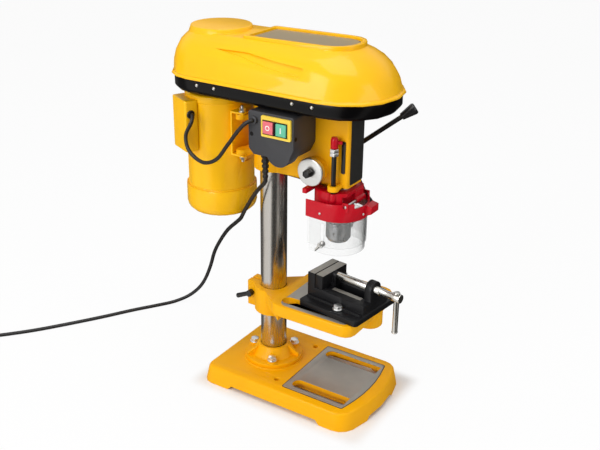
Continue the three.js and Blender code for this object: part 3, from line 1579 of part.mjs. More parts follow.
function make_carrier() {
  const hub_radius = quill_radius + carrier_hub_wall;
  const axis = -spindle_reach;
  const plate = post(0, axis, carrier_top - carrier_plate, carrier_top, carrier_radius, 24);
  const skirt = cut(
    post(0, axis, carrier_bottom + carrier_plate, carrier_top, carrier_radius, 24),
    post(0, axis, carrier_bottom, carrier_top - carrier_plate / 2, carrier_radius - guard_wall, 24),
  );
  const hub = post(0, axis, carrier_bottom, carrier_top, hub_radius, 24);
  const pin_room = block(
    -2 * carrier_radius,
    2 * carrier_radius,
    -2 * spindle_reach,
    -guard_pin_reach + 1.5 * barrel_radius,
    carrier_bottom - cut_over,
    carrier_top - carrier_plate,
  );
  const front_trim = block(
    -2 * carrier_radius,
    2 * carrier_radius,
    -2 * spindle_reach,
    -carrier_front,
    carrier_bottom - cut_over,
    carrier_top + cut_over,
  );
  const barrel_start = -barrel_radius / 2;
  const barrel_end = guard_radius / 2 - 3 * seat_gap;
  const pin_barrel = join(
    bar_x(barrel_start, barrel_end, -guard_pin_reach, guard_pin_height, barrel_radius, 12),
    block(barrel_start, barrel_end, -guard_pin_reach, -guard_pin_reach + 2 * barrel_radius, guard_pin_height, carrier_top - carrier_plate / 2),
  );
  const stop_boss = post(-stop_offset, -stop_reach, stop_rod_foot - 2 * stop_rod_radius, carrier_top, stop_rod_radius + guard_wall, 20);
  const ear = block(-guard_radius, -carrier_radius / 2, -guard_leg_back - guard_wall, -guard_leg_back + 2 * guard_wall,
    carrier_top - carrier_plate, carrier_top + cut_over);
  const rod_hole = post(-stop_offset, -stop_reach, stop_rod_foot - seat_gap, carrier_top + cut_over, stop_rod_radius + run_gap, 12);
  const pin_hole = bar_x(-carrier_radius, carrier_radius, -guard_pin_reach, guard_pin_height, guard_pin_radius + run_gap, 12);
  const bore = post(0, axis, carrier_bottom - cut_over, carrier_top + 2 * cut_over, quill_bore, 24);
  return cut(
    join(cut(join(plate, skirt, hub), pin_room, front_trim), pin_barrel, stop_boss, ear),
    rod_hole, pin_hole, bore,
  );
}

// A wall that is straight at the sides and round at the front, open to the back
function u_outline(radius, thickness, back) {
  const inner = radius - thickness;
  const shape = new THREE.Shape();
  shape.moveTo(-radius, -back);
  shape.absarc(0, -spindle_reach, radius, 180 * degree, 360 * degree);
  shape.lineTo(radius, -back);
  shape.lineTo(inner, -back);
  shape.absarc(0, -spindle_reach, inner, 360 * degree, 180 * degree, true);
  shape.lineTo(-inner, -back);
  return shape;
}

const arc_divisions = 10;
const pin_half = Math.sqrt((guard_radius - guard_wall / 2) ** 2 - (guard_pin_reach - spindle_reach) ** 2);

function make_band() {
  const wall = upright(u_outline(guard_radius, guard_wall, guard_leg_back), guard_bottom, guard_top, arc_divisions);
  const front_drop = block(
    -guard_radius / 2,
    guard_radius / 2,
    -2 * spindle_reach,
    -spindle_reach,
    guard_front_top,
    guard_top + cut_over,
  );
  const tab = along_x(polygon([
    [-spindle_reach - guard_radius + guard_wall / 2, guard_bottom + guard_wall],
    [-spindle_reach - guard_radius - 4 * guard_wall, guard_bottom + 3 * guard_wall],
    [-spindle_reach - guard_radius - 4 * guard_wall, guard_front_top - guard_wall],
    [-spindle_reach - guard_radius + guard_wall / 2, guard_front_top],
  ]), 0, guard_radius / 2);
  const lug_top = guard_pin_height + guard_lug_rise;
  const lugs = [-1, 1].map((side) => {
    const x = side * pin_half;
    const inner = x - side * guard_wall;
    return block(
      Math.min(x, inner),
      Math.max(x, inner),
      -guard_pin_reach - barrel_radius,
      -guard_pin_reach + barrel_radius,
      shield_top + seat_gap,
      lug_top,
    );
  });
  const pin_hole = bar_x(-2 * guard_radius, 2 * guard_radius, -guard_pin_reach, guard_pin_height, guard_pin_radius + run_gap, 12);
  return cut(join(cut(wall, front_drop), tab, ...lugs), pin_hole);
}

const shield_radius = guard_radius - guard_wall - seat_gap;
const visor_radius = shield_radius - shield_wall - seat_gap;
const wing_face = shield_radius + seat_gap;

function make_shield() {
  const wall = upright(u_outline(shield_radius, shield_wall, guard_leg_back + guard_wall), shield_bottom, shield_top, arc_divisions);
  const screws = bar_x(-2 * guard_radius, 2 * guard_radius, -wing_reach, wing_height, wing_screw_radius + run_gap, 12);
  const front_drop = block(-guard_radius, guard_radius, -2 * spindle_reach, -wing_reach, guard_front_top - 2 * guard_wall, guard_top);
  return cut(wall, screws, front_drop);
}

function make_visor() {
  const wall = upright(u_outline(visor_radius, shield_wall, guard_leg_back + 2 * guard_wall), visor_bottom, visor_top, arc_divisions);
  const slots = along_x(
    rounded_rectangle(-wing_reach - visor_slot_width / 2, -wing_reach + visor_slot_width / 2,
      wing_height - visor_slot_width / 2, visor_slot_top, visor_slot_width / 2),
    -2 * guard_radius, 2 * guard_radius);
  return cut(wall, slots);
}

// A wing nut outside the shield, its screw through the visor's slot, with its head inside
function make_wing_nut(side) {
  const outer = side * wing_face;
  const inner = side * (visor_radius - shield_wall - seat_gap);
  const x_range = (a, b) => (a < b ? [a, b] : [b, a]);
  const nut = bar_x(...x_range(outer, outer + side * 5 * guard_wall / 3), -wing_reach, wing_height, 2 * wing_screw_radius, 8);
  const screw = bar_x(...x_range(inner - side * guard_wall / 2, outer + side * 2 * guard_wall), -wing_reach, wing_height, wing_screw_radius, 8);
  const head = bar_x(...x_range(inner - side * guard_wall, inner), -wing_reach, wing_height, 2 * wing_screw_radius, 8);
  const root = outer + side * guard_wall;
  const wings = [-1, 1].map((turn) => rod(
    [root, -wing_reach, wing_height],
    [root + side * 2 * guard_wall, -wing_reach + turn * wing_span * 0.8, wing_height - turn * wing_span],
    guard_wall * 0.9, guard_wall * 0.8, 6));
  return join(nut, screw, head, ...wings);
}

add("guard_carrier", make_carrier(), red_plastic);
add("guard_band", make_band(), red_plastic);
add("guard_pin", bar_x(-pin_half, pin_half, -guard_pin_reach, guard_pin_height, guard_pin_radius, 12), zinc);
add("guard_shield", make_shield(), clear_plastic);
add("guard_visor", make_visor(), clear_plastic);
add("wing_nut_left", make_wing_nut(-1), zinc);
add("wing_nut_right", make_wing_nut(1), zinc);

// The lead between motor and switch box, held at both ends

function tube(points, radius, steps, sides) {
  const curve = new THREE.CatmullRomCurve3(points.map((point) => new THREE.Vector3(...point)), false, "centripetal");
  const section = new THREE.Shape(new THREE.EllipseCurve(0, 0, radius, radius).getPoints(sides).slice(0, sides));
  return solid(new THREE.ExtrudeGeometry(section, { steps, extrudePath: curve, bevelEnabled: false }));
}

const motor_lead_points = [
  [-70.6, 115.2, 484],
  [-73, 110, 484],
  [-79, 107, 476],
  [-84, 116, 452],
  [-88, 108, 430],
  [-92, 78, 416.4],
  [-97, 46, 428],
  [-100, 20, 458],
  [-102, -4, 488],
  [-101, -18, 502],
  [-96, -24, 505],
  [-93.4, -24, 505],
];
add("motor_lead", tube(motor_lead_points, motor_lead_radius, 22, 6), rubber);

// The mains lead: down from the strain relief, away behind the machine and along the bench

const lead_drop = 6;
const lead_points = [
  [relief_x, relief_y, relief_foot - seat_gap],
  [relief_x, relief_y, relief_foot - seat_gap - lead_drop],
  [-51, -6, 376],
  [-42, 12, 356],
  [-29, 39, 320],
  [-24, 48, 307],
  [-16, 58, 295],
  [-3, 76, 279],
  [28, 120, 241],
  [54, 158, 200],
  [76, 191, 157],
  [94, 216, 113],
  [108, 243, 68],
  [116, 268, 36],
  [110, 291, 14],
  [88, 310, 5],
  [58, 330, 3.7],
  [15, 358, 3.7],
  [-40, 390, 3.7],
  [-106, 432, 3.7],
  [-158, 468, 3.7],
  [-208, 510, 3.7],
  [-232, 534, 3.7],
];

// The rest is wound in a coil just past the end of that run: loops in and out again, in two layers
const coil_middle = [-305, 548];
const coil_start_degrees = 43;

function coil_points() {
  const points = [];
  const reverse = coil_turns / 2;
  const total = Math.round(coil_turns * coil_steps);
  for (let i = 0; i <= total; i += 1) {
    const turn = (i / total) * coil_turns;
    const radius = coil_inner_radius + coil_pitch * Math.abs(turn - reverse);
    const climb = THREE.MathUtils.smoothstep(turn, reverse - 0.25, reverse + 0.25);
    const angle = (coil_start_degrees + 360 * turn) * degree;
    points.push([
      coil_middle[0] + radius * Math.cos(angle),
      coil_middle[1] + radius * Math.sin(angle),
      lead_points.at(-1)[2] + coil_pitch * climb,
    ]);
  }
  return points;
}

// Extends a run straight from its end by a distance, in line with its last two points
function straight_on(points, distance) {
  const end = new THREE.Vector3(...points.at(-1));
  const before = new THREE.Vector3(...points.at(-2));
  const step = end.clone().sub(before).normalize().multiplyScalar(distance);
  return end.add(step).toArray();
}

const coil = coil_points();
const coil_entry = [...coil].reverse();
const lead_diameter = 2 * lead_radius;
const coil_lead_in = straight_on(coil_entry, lead_diameter);
coil.unshift(coil_lead_in);
const plug_axis_height = plug_radius + seat_gap;
const coil_end = new THREE.Vector3(...coil.at(-1));
const coil_before = new THREE.Vector3(...coil.at(-2));
const out = coil_end.clone().sub(coil_before).setZ(0).normalize();
const climb_out = 3 * lead_diameter;
const tail = (distance, height) => coil_end.clone().addScaledVector(out, distance).setZ(height).toArray();
coil.push(tail(climb_out, (coil_end.z + plug_axis_height) / 2));
coil.push(tail(2 * climb_out, plug_axis_height));
coil.push(tail(2 * climb_out + lead_diameter, plug_axis_height));

// The least gap from the coil to itself, measured between points that are over half a turn apart
function least_gap(points) {
  let least = Infinity;
  for (let i = 0; i < points.length; i += 1) {
    for (let j = i + coil_steps / 2; j < points.length; j += 1) {
      const gap = new THREE.Vector3(...points[i]).distanceTo(new THREE.Vector3(...points[j])) - lead_diameter;
      least = Math.min(least, gap);
    }
  }
  return least;
}

console.log("least gap in the coil, mm:", least_gap(coil).toFixed(2));

// The run meets the coil face to face
const meeting = new THREE.Vector3(...coil[0]);
const inwards = new THREE.Vector3(...coil[1]).sub(meeting).normalize();
lead_points.push(meeting.clone().addScaledVector(inwards, -lead_diameter - seat_gap).toArray());
lead_points.push(meeting.clone().addScaledVector(inwards, -seat_gap).toArray());
add("power_cord", tube(lead_points, lead_radius, 40, 6), rubber);
add("cord_coil", tube(coil, lead_radius, Math.round(coil_turns * coil_steps) + 8, 6), rubber);

// A round earthed plug lying beside the coil, in line with the lead's end
const plug_group = new THREE.Group();
const plug_at = new THREE.Vector3(...coil.at(-1)).addScaledVector(out, seat_gap);
plug_group.position.copy(plug_at);
plug_group.rotation.z = Math.atan2(out.y, out.x);
machine.add(plug_group);

function make_plug() {
  const collar_end = plug_collar_length;
  const face = collar_end + plug_length;
  const body = turned_x([
    [0, 0],
    [plug_collar_radius * 0.8, 0],
    [plug_collar_radius, collar_end * 0.7],
    [plug_radius * 0.8, collar_end],
    [plug_radius, collar_end + plug_length * 0.3],
    [plug_radius, face],
    [0, face],
  ], 0, 0, 18);
  const pins = [-1, 1].map((side) =>
    bar_x(face - cut_over, face + plug_pin_length, (side * plug_pin_spacing) / 2, 0, plug_pin_radius, 12));
  const keys = [-1, 1].map((side) => block(
    collar_end + plug_length * 0.4,
    face + cut_over,
    -plug_pin_radius,
    plug_pin_radius,
    side > 0 ? plug_radius - plug_pin_radius : -2 * plug_radius,
    side > 0 ? 2 * plug_radius : -plug_radius + plug_pin_radius,
  ));
  return join(cut(body, ...keys), ...pins);
}

add("plug", make_plug(), rubber, plug_group);

// The origin goes to the middle of the machine's box at bench level; the lead is left out of that box
const cord_names = ["power_cord", "cord_coil", "plug"];
machine.updateMatrixWorld(true);
const reach = new THREE.Box3();
machine.traverse((object) => {
  if (object.isMesh && !cord_names.includes(object.name)) reach.expandByObject(object, true);
});
const middle = reach.getCenter(new THREE.Vector3());
machine.position.set(-middle.x, -middle.y, -reach.min.z);
const pillar_drill = new THREE.Group();
pillar_drill.add(machine);

export default pillar_drill;
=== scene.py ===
import json
import math

import bmesh
import bpy
from mathutils import Matrix, Vector


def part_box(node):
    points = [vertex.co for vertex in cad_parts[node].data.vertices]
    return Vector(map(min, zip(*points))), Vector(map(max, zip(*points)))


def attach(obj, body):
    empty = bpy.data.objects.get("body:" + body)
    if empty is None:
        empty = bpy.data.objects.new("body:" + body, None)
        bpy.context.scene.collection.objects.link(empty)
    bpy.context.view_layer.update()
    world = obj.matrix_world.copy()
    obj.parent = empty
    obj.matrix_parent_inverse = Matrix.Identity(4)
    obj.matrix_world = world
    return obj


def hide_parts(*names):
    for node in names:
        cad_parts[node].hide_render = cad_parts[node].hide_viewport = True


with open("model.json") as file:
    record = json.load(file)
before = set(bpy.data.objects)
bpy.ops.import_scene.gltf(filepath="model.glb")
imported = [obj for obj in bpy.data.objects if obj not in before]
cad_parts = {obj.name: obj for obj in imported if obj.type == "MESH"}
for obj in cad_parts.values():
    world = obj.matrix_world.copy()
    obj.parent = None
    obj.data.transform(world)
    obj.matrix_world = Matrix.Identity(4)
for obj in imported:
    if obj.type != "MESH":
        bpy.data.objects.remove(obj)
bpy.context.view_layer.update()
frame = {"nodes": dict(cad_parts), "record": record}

# Sizes are in millimetres from the column's axis at bench level: x to the machine's right, y to its rear
MM = 0.001
column_low, column_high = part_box("column")
column_axis = Vector(((column_low.x + column_high.x) / 2, (column_low.y + column_high.y) / 2, 0.0))


def at(x, y, z):
    """A place in the row frame, in metres"""
    return column_axis + Vector((x, y, z)) * MM


def new_object(name, data):
    made = bpy.data.objects.new(name, data)
    bpy.context.scene.collection.objects.link(made)
    return made


# The camera stands where the photograph was taken
camera_azimuth = math.radians(-57.7)
camera_elevation = math.radians(24.12)
camera_roll = math.radians(0.75)
camera_place = at(-1145.83, -777.35, 910.60)
lens_pixels = 885.8
picture_width = 600
sensor_width = 36.0

across = Vector((math.cos(camera_azimuth), math.sin(camera_azimuth), 0.0))
back = Vector((
    math.sin(camera_azimuth) * math.cos(camera_elevation),
    -math.cos(camera_azimuth) * math.cos(camera_elevation),
    math.sin(camera_elevation),
))
upwards = back.cross(across)
picture_right = across * math.cos(camera_roll) + upwards * math.sin(camera_roll)
picture_up = upwards * math.cos(camera_roll) - across * math.sin(camera_roll)

camera_data = bpy.data.cameras.new("camera")
camera_data.sensor_width = sensor_width
camera_data.lens = lens_pixels * sensor_width / picture_width
camera_data.clip_start = 0.05
camera_data.clip_end = 50.0
camera = new_object("camera", camera_data)
camera_turn = Matrix((picture_right, picture_up, back)).transposed().to_4x4()
camera.matrix_world = Matrix.Translation(camera_place) @ camera_turn
bpy.context.scene.camera = camera


# Shader trees

class Reading:
    """One value that a shader tree works out"""

    def __init__(self, shading, socket):
        self.shading = shading
        self.socket = socket

    def __add__(self, other):
        return self.shading.maths("ADD", self, other)

    def __radd__(self, other):
        return self.shading.maths("ADD", other, self)

    def __sub__(self, other):
        return self.shading.maths("SUBTRACT", self, other)

    def __rsub__(self, other):
        return self.shading.maths("SUBTRACT", other, self)

    def __mul__(self, other):
        return self.shading.maths("MULTIPLY", self, other)

    def __rmul__(self, other):
        return self.shading.maths("MULTIPLY", other, self)

    def __pow__(self, other):
        return self.shading.maths("POWER", self, other)


class Shading:
    """A tree of shader nodes"""

    def __init__(self, tree):
        self.tree = tree

    def feed(self, socket, value):
        if isinstance(value, Reading):
            self.tree.links.new(value.socket, socket)
        else:
            socket.default_value = value

    def node(self, kind, settings=None, sockets=None, output=0):
        made = self.tree.nodes.new(kind)
        for name, value in (settings or {}).items():
            setattr(made, name, value)
        for name, value in (sockets or {}).items():
            self.feed(made.inputs[name], value)
        return Reading(self, made.outputs[output])

    def maths(self, operation, *values):
        return self.node("ShaderNodeMath", {"operation": operation}, dict(enumerate(values)))

    def part(self, axis, vector):
        """The X, Y or Z of a vector"""
        return self.node("ShaderNodeSeparateXYZ", {}, {0: vector}, axis)

    def between(self, low, high, value, interpolation="SMOOTHSTEP"):
        """0 below low, 1 above high, smooth between them"""
        return self.node(
            "ShaderNodeMapRange",
            {"interpolation_type": interpolation},
            {"Value": value, "From Min": low, "From Max": high},
        )

    def blended(self, share, first, second):
        """From the first colour to the second as the share goes from 0 to 1"""
        ends = [(*colour, 1.0) if isinstance(colour, tuple) else colour for colour in (first, second)]
        return self.node("ShaderNodeMix", {"data_type": "RGBA"}, {0: share, 6: ends[0], 7: ends[1]}, output=2)

    def ramp(self, stops, value):
        """Colours along a ramp, whose stops are pairs of a position and a colour"""
        made = self.tree.nodes.new("ShaderNodeValToRGB")
        elements = made.color_ramp.elements
        elements[0].position, elements[0].color = stops[0]
        elements[1].position, elements[1].color = stops[-1]
        for position, colour in stops[1:-1]:
            elements.new(position).color = colour
        self.feed(made.inputs[0], value)
        return Reading(self, made.outputs[0])

    def rays(self, kind):
        """1 for rays of this kind, 0 for the others"""
        return self.node("ShaderNodeLightPath", output=f"Is {kind} Ray")

    def glow(self, kind, colour, strength=1.0):
        """An even light: an emission on a surface, or a background in the world"""
        return self.node(kind, {}, {"Color": colour, "Strength": strength})

    def mixed_shader(self, share, first, second):
        return self.node("ShaderNodeMixShader", {}, {0: share, 1: first, 2: second})


class Finish(Shading):
    """A surface finish built from shader nodes, on the object's own coordinates in metres"""

    def __init__(self, name, colour, roughness, metallic=0.0, coat=0.0, specular=0.5):
        self.material = bpy.data.materials.new(name)
        self.material.use_nodes = True
        super().__init__(self.material.node_tree)
        self.shader = self.tree.nodes["Principled BSDF"]
        self.set("Base Color", (*colour, 1.0))
        self.set("Roughness", roughness)
        self.set("Metallic", metallic)
        self.set("Coat Weight", coat)
        self.set("Coat Roughness", 0.05)
        self.set("Specular IOR Level", specular)
        self.place = self.node("ShaderNodeTexCoord", output="Object")

    def set(self, socket, value):
        self.feed(self.shader.inputs[socket], value)

    def stretched(self, factors):
        """The object's coordinates, drawn out by a factor along each axis"""
        return self.node("ShaderNodeMapping", {}, {"Vector": self.place, "Scale": factors})

    def speckle(self, per_metre, detail=2.0, places=None):
        return self.node(
            "ShaderNodeTexNoise",
            {},
            {"Vector": places or self.place, "Scale": per_metre, "Detail": detail},
        )

    def bump(self, height, strength, distance):
        self.set("Normal", self.node(
            "ShaderNodeBump",
            {},
            {"Height": height, "Strength": strength, "Distance": distance},
        ))


# Finishes

white = (1.0, 1.0, 1.0, 1.0)


def linear(red, green, blue):
    """A screen colour of 0 to 255 as the light it stands for"""
    def channel(value):
        value /= 255.0
        return value / 12.92 if value <= 0.04045 else ((value + 0.055) / 1.055) ** 2.4
    return channel(red), channel(green), channel(blue)


def darker(colour, share):
    return tuple(channel * share for channel in colour)


def gloss_paint(name, colour, roughness, coat, specular, ripple, grain=900.0, wear=0.06):
    """Sprayed gloss paint: slightly uneven in tone, with a faint orange peel"""
    finish = Finish(name, colour, roughness, coat=coat, specular=specular)
    clouds = finish.speckle(14.0, detail=3.0)
    peel = finish.speckle(grain)
    worn = finish.between(0.35, 0.7, clouds) * wear * 4.0
    finish.set("Base Color", finish.blended(worn, colour, darker(colour, 0.8)))
    finish.set("Roughness", roughness + 0.1 * clouds)
    finish.bump(peel, strength=ripple, distance=0.0003)
    return finish.material


def moulded_plastic(name, colour, roughness, grain, depth):
    """Moulded plastic with a fine eroded texture"""
    finish = Finish(name, colour, roughness)
    pores = finish.speckle(grain, detail=3.0)
    clouds = finish.speckle(22.0)
    lighter = tuple(min(1.0, channel * 1.5 + 0.004) for channel in colour)
    porous = finish.between(0.45, 0.8, pores) * 0.35
    finish.set("Base Color", finish.blended(porous, colour, lighter))
    finish.set("Roughness", roughness - 0.06 + 0.12 * clouds)
    finish.bump(pores, strength=depth, distance=0.0002)
    return finish.material


def ground_steel(name, colour, roughness, grain, lines=(1.0, 1.0, 1.0), stain=0.25):
    """Ground or turned steel: fine lines along one direction, and a few darker stains"""
    finish = Finish(name, colour, roughness, metallic=1.0)
    drawn_out = finish.stretched(lines)
    grinding = finish.speckle(grain, detail=3.0, places=drawn_out)
    stains = finish.speckle(30.0, detail=4.0, places=drawn_out)
    marked = finish.between(0.42, 0.72, stains) * stain
    finish.set("Base Color", finish.blended(marked, colour, darker(colour, 0.55)))
    finish.set("Roughness", roughness + 0.14 * grinding - 0.05)
    finish.bump(grinding, strength=0.12, distance=0.0001)
    return finish.material


def machined_face():
    """The milled working faces: grey with fine cutter arcs"""
    finish = Finish("machined_grey_face", linear(176, 172, 164), roughness=0.42, metallic=0.7)
    arcs = finish.node(
        "ShaderNodeTexWave",
        {"wave_type": "BANDS", "bands_direction": "DIAGONAL"},
        {"Vector": finish.place, "Scale": 130.0, "Distortion": 2.0, "Detail": 2.0},
        output=1,
    )
    clouds = finish.speckle(26.0, detail=3.0)
    finish.set("Base Color", finish.blended(clouds, linear(184, 180, 170), linear(158, 154, 148)))
    finish.set("Roughness", 0.38 + 0.14 * arcs)
    finish.bump(arcs, strength=0.12, distance=0.0001)
    return finish.material


def clear_sheet():
    """Clear moulded plastic: nearly invisible face on, greyer towards its edges, where a painted shade stands
    in for its glancing reflections
    """
    finish = Finish("clear_plastic_sheet", linear(226, 230, 232), roughness=0.08)
    facing = finish.node("ShaderNodeLayerWeight", {}, {"Blend": 0.42}, output=1)
    haze = finish.speckle(40.0)
    edge = finish.between(0.35, 0.8, facing)
    # Painted shade: the colour turns dark grey where the sheet is seen edge on, standing in for its glancing
    # reflections
    finish.set("Base Color", finish.blended(edge, linear(224, 226, 224), linear(70, 72, 72)))
    finish.set("Alpha", 0.05 + 0.8 * facing ** 2.0 + 0.03 * haze)
    return finish.material


yellow_finish = gloss_paint(
    "golden_yellow_paint", linear(255, 192, 0), roughness=0.32, coat=0.3, specular=0.22, ripple=0.08,
)
casting_finish = gloss_paint(
    "yellow_casting_paint", linear(252, 180, 0),
    roughness=0.4, coat=0.08, specular=0.16, ripple=0.16, grain=420.0,
)
tray_finish = gloss_paint(
    "black_gloss_paint", linear(5, 4, 5), roughness=0.24, coat=0.12, specular=0.15, ripple=0.1, wear=0.02,
)
vise_finish = gloss_paint(
    "black_satin_casting", linear(21, 21, 23),
    roughness=0.42, coat=0.08, specular=0.22, ripple=0.35, grain=600.0, wear=0.03,
)
red_finish = gloss_paint(
    "crimson_gloss_plastic", linear(196, 6, 30), roughness=0.24, coat=0.22, specular=0.2, ripple=0.05,
)

frame_finish = moulded_plastic(
    "pale_yellow_plastic", linear(244, 206, 66), roughness=0.42, grain=1200.0, depth=0.06,
)
box_finish = moulded_plastic("dark_grey_plastic", linear(52, 52, 55), roughness=0.5, grain=900.0, depth=0.2)
handle_finish = moulded_plastic("black_plastic", linear(24, 24, 26), roughness=0.32, grain=900.0, depth=0.06)
stop_finish = moulded_plastic(
    "rose_red_button", linear(226, 108, 118), roughness=0.34, grain=1400.0, depth=0.04,
)
start_finish = moulded_plastic(
    "mint_green_button", linear(96, 186, 152), roughness=0.34, grain=1400.0, depth=0.04,
)
sign_finish = moulded_plastic(
    "pale_button_sign", linear(238, 232, 226), roughness=0.4, grain=1400.0, depth=0.02,
)
plate_finish = moulded_plastic(
    "bare_black_plate", linear(44, 44, 42), roughness=0.4, grain=1600.0, depth=0.03,
)
recess_plate_finish = moulded_plastic(
    "bare_grey_plate", linear(150, 134, 104), roughness=0.36, grain=1600.0, depth=0.03,
)
rubber_finish = moulded_plastic("black_rubber", linear(26, 24, 24), roughness=0.46, grain=700.0, depth=0.1)
belt_finish = moulded_plastic("belt_rubber", linear(30, 30, 30), roughness=0.6, grain=500.0, depth=0.25)

# The smaller its factor along an axis, the longer a steel's lines are along that axis
upright_lines = (1.0, 1.0, 0.02)
level_rings = (0.05, 0.05, 1.0)
lengthwise_lines = (1.0, 0.05, 1.0)
column_finish = ground_steel(
    "ground_column_steel", linear(206, 202, 196), roughness=0.24, grain=420.0, lines=upright_lines, stain=0.3,
)
chuck_finish = ground_steel(
    "dark_chuck_steel", linear(150, 150, 152), roughness=0.16, grain=420.0, lines=upright_lines, stain=0.5,
)
turned_finish = ground_steel(
    "turned_steel", linear(200, 200, 200), roughness=0.26, grain=900.0, lines=level_rings,
)
pulley_finish = ground_steel(
    "pulley_aluminium", linear(196, 198, 200), roughness=0.36, grain=700.0, lines=level_rings,
)
screw_finish = ground_steel(
    "bright_screw_steel", linear(214, 212, 206), roughness=0.22, grain=900.0, lines=lengthwise_lines,
)
dark_steel_finish = ground_steel(
    "blackened_steel", linear(62, 60, 58), roughness=0.34, grain=900.0, lines=lengthwise_lines,
)
zinc_finish = ground_steel("bright_zinc", linear(232, 232, 230), roughness=0.28, grain=600.0, stain=0.12)
machined_finish = machined_face()
clear_finish = clear_sheet()


# Helpers for pieces

crisp_angle = 34
flat_angle = math.radians(0.6)
# A face whose normal has this much of its length along an axis counts as square to that axis
square_on = 0.99
body_of = {
    node: body
    for body, nodes in frame["record"]["behaviour"]["bodies"].items()
    for node in nodes
}


def object_from(mesh, name, finish):
    """Turns a bmesh into an object of the scene"""
    data = bpy.data.meshes.new(name)
    mesh.to_mesh(data)
    mesh.free()
    data.materials.append(finish)
    return new_object(name, data)


def piece_from(mesh, name, body, finish):
    """Turns a bmesh into a finished piece of the machine, riding on a body"""
    piece = object_from(mesh, name, finish)
    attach(piece, body)
    return piece


def shade_smooth(piece, sharp_from=crisp_angle):
    """Smooth faces, with edges over this angle left crisp"""
    for face in piece.data.polygons:
        face.use_smooth = True
    piece.data.set_sharp_from_angle(angle=math.radians(sharp_from))
    return piece


def soften_edges(piece, width, segments=2):
    """A small round on every crisp edge, its width in millimetres"""
    for face in piece.data.polygons:
        face.use_smooth = True
    bevel = piece.modifiers.new("edges", "BEVEL")
    bevel.width = width * MM
    bevel.segments = segments
    bevel.limit_method = "ANGLE"
    bevel.angle_limit = math.radians(crisp_angle)
    bevel.use_clamp_overlap = False
    bevel.harden_normals = True
    return piece


def merged_copy(node):
    """A CAD node's mesh with its loose triangles joined into faces"""
    mesh = bmesh.new()
    mesh.from_mesh(frame["nodes"][node].data)
    bmesh.ops.remove_doubles(mesh, verts=mesh.verts, dist=2e-6)
    bmesh.ops.dissolve_limit(mesh, angle_limit=flat_angle, verts=mesh.verts, edges=mesh.edges)
    return mesh


def dressed(node, finish, edge, segments=2, mesh=None):
    """A piece that stands for a CAD node: its own finish, and edges softened by this width in millimetres"""
    shape = mesh or merged_copy(node)
    piece = piece_from(shape, f"{node}_dressed", body_of[node], finish)
    if edge:
        soften_edges(piece, edge, segments)
    else:
        shade_smooth(piece)
    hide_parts(node)
    return piece


# The motor's lead and the mains lead: smooth curves through the same places as the solids

def smooth_run(points, steps_each):
    """A smooth line through these places: a centripetal Catmull-Rom run"""
    places = [Vector(point) for point in points]
    places = [2 * places[0] - places[1], *places, 2 * places[-1] - places[-2]]
    run = []
    for before, start, end, after in zip(places, places[1:], places[2:], places[3:]):
        gaps = [
            max((far - near).length, 1e-6) ** 0.5
            for near, far in ((before, start), (start, end), (end, after))
        ]
        leave = (start - before) / gaps[0] - (end - before) / (gaps[0] + gaps[1]) + (end - start) / gaps[1]
        arrive = (end - start) / gaps[1] - (after - start) / (gaps[1] + gaps[2]) + (after - end) / gaps[2]
        leave *= gaps[1]
        arrive *= gaps[1]
        for step in range(steps_each):
            t = step / steps_each
            run.append(
                start * (2 * t ** 3 - 3 * t ** 2 + 1)
                + leave * (t ** 3 - 2 * t ** 2 + t)
                + end * (3 * t ** 2 - 2 * t ** 3)
                + arrive * (t ** 3 - t ** 2)
            )
    run.append(places[-2])
    return run


def lead_curve(name, run, radius):
    """A round rubber lead along a run of places, its radius in millimetres"""
    data = bpy.data.curves.new(name, "CURVE")
    data.dimensions = "3D"
    data.bevel_depth = radius * MM
    data.bevel_resolution = 4
    data.use_fill_caps = True
    spline = data.splines.new("POLY")
    spline.points.add(len(run) - 1)
    for point, place in zip(spline.points, run):
        point.co = (*at(*place), 1.0)
    data.materials.append(rubber_finish)
    piece = new_object(name, data)
    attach(piece, "machine")
    return piece


def length_of(run):
    return sum((end - start).length for start, end in zip(run, run[1:]))


motor_lead_radius = 3.2
motor_lead_run = smooth_run([
    (-70.6, 115.2, 484), (-73, 110, 484), (-79, 107, 476), (-84, 116, 452), (-88, 108, 430), (-92, 78, 416.4),
    (-97, 46, 428), (-100, 20, 458), (-102, -4, 488), (-101, -18, 502), (-96, -24, 505), (-93.4, -24, 505),
], steps_each=6)
motor_lead = lead_curve("motor_lead_dressed", motor_lead_run, motor_lead_radius)
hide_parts("motor_lead")

lead_radius = 3.5
on_bench = 3.7
lead_points = [
    (-60, -24.5, 401.4), (-60, -24.5, 395.4), (-51, -6, 376), (-42, 12, 356), (-29, 39, 320), (-24, 48, 307),
    (-16, 58, 295), (-3, 76, 279), (28, 120, 241), (54, 158, 200), (76, 191, 157), (94, 216, 113),
    (108, 243, 68), (116, 268, 36), (110, 291, 14), (88, 310, 5), (58, 330, on_bench), (15, 358, on_bench),
    (-40, 390, on_bench), (-106, 432, on_bench), (-158, 468, on_bench), (-208, 510, on_bench),
    (-232, 534, on_bench),
]
coil_middle = (-305, 548)
coil_start = math.radians(43)
coil_turns = 3.35
coil_steps = 24
coil_radius = 33
coil_pitch = 7.8
coil_crossing = 0.25
coil_straight = 7.0
coil_approach = 7.3
plug_height = 18.3
# How far past the coil's end the lead has risen by which share of the way to the plug
plug_rises = ((21, 0.5), (42, 1.0), (49, 1.0))


def smoothstep(value, low, high):
    share = min(max((value - low) / (high - low), 0.0), 1.0)
    return share * share * (3 - 2 * share)


def coil_places():
    """In and out again, in two layers"""
    total = round(coil_turns * coil_steps)
    middle_turn = coil_turns / 2
    places = []
    for step in range(total + 1):
        turns = coil_turns * step / total
        radius = coil_radius + coil_pitch * abs(turns - middle_turn)
        angle = coil_start + math.tau * turns
        climbed = smoothstep(turns, middle_turn - coil_crossing, middle_turn + coil_crossing)
        places.append(Vector((
            coil_middle[0] + radius * math.cos(angle),
            coil_middle[1] + radius * math.sin(angle),
            on_bench + coil_pitch * climbed,
        )))
    return places


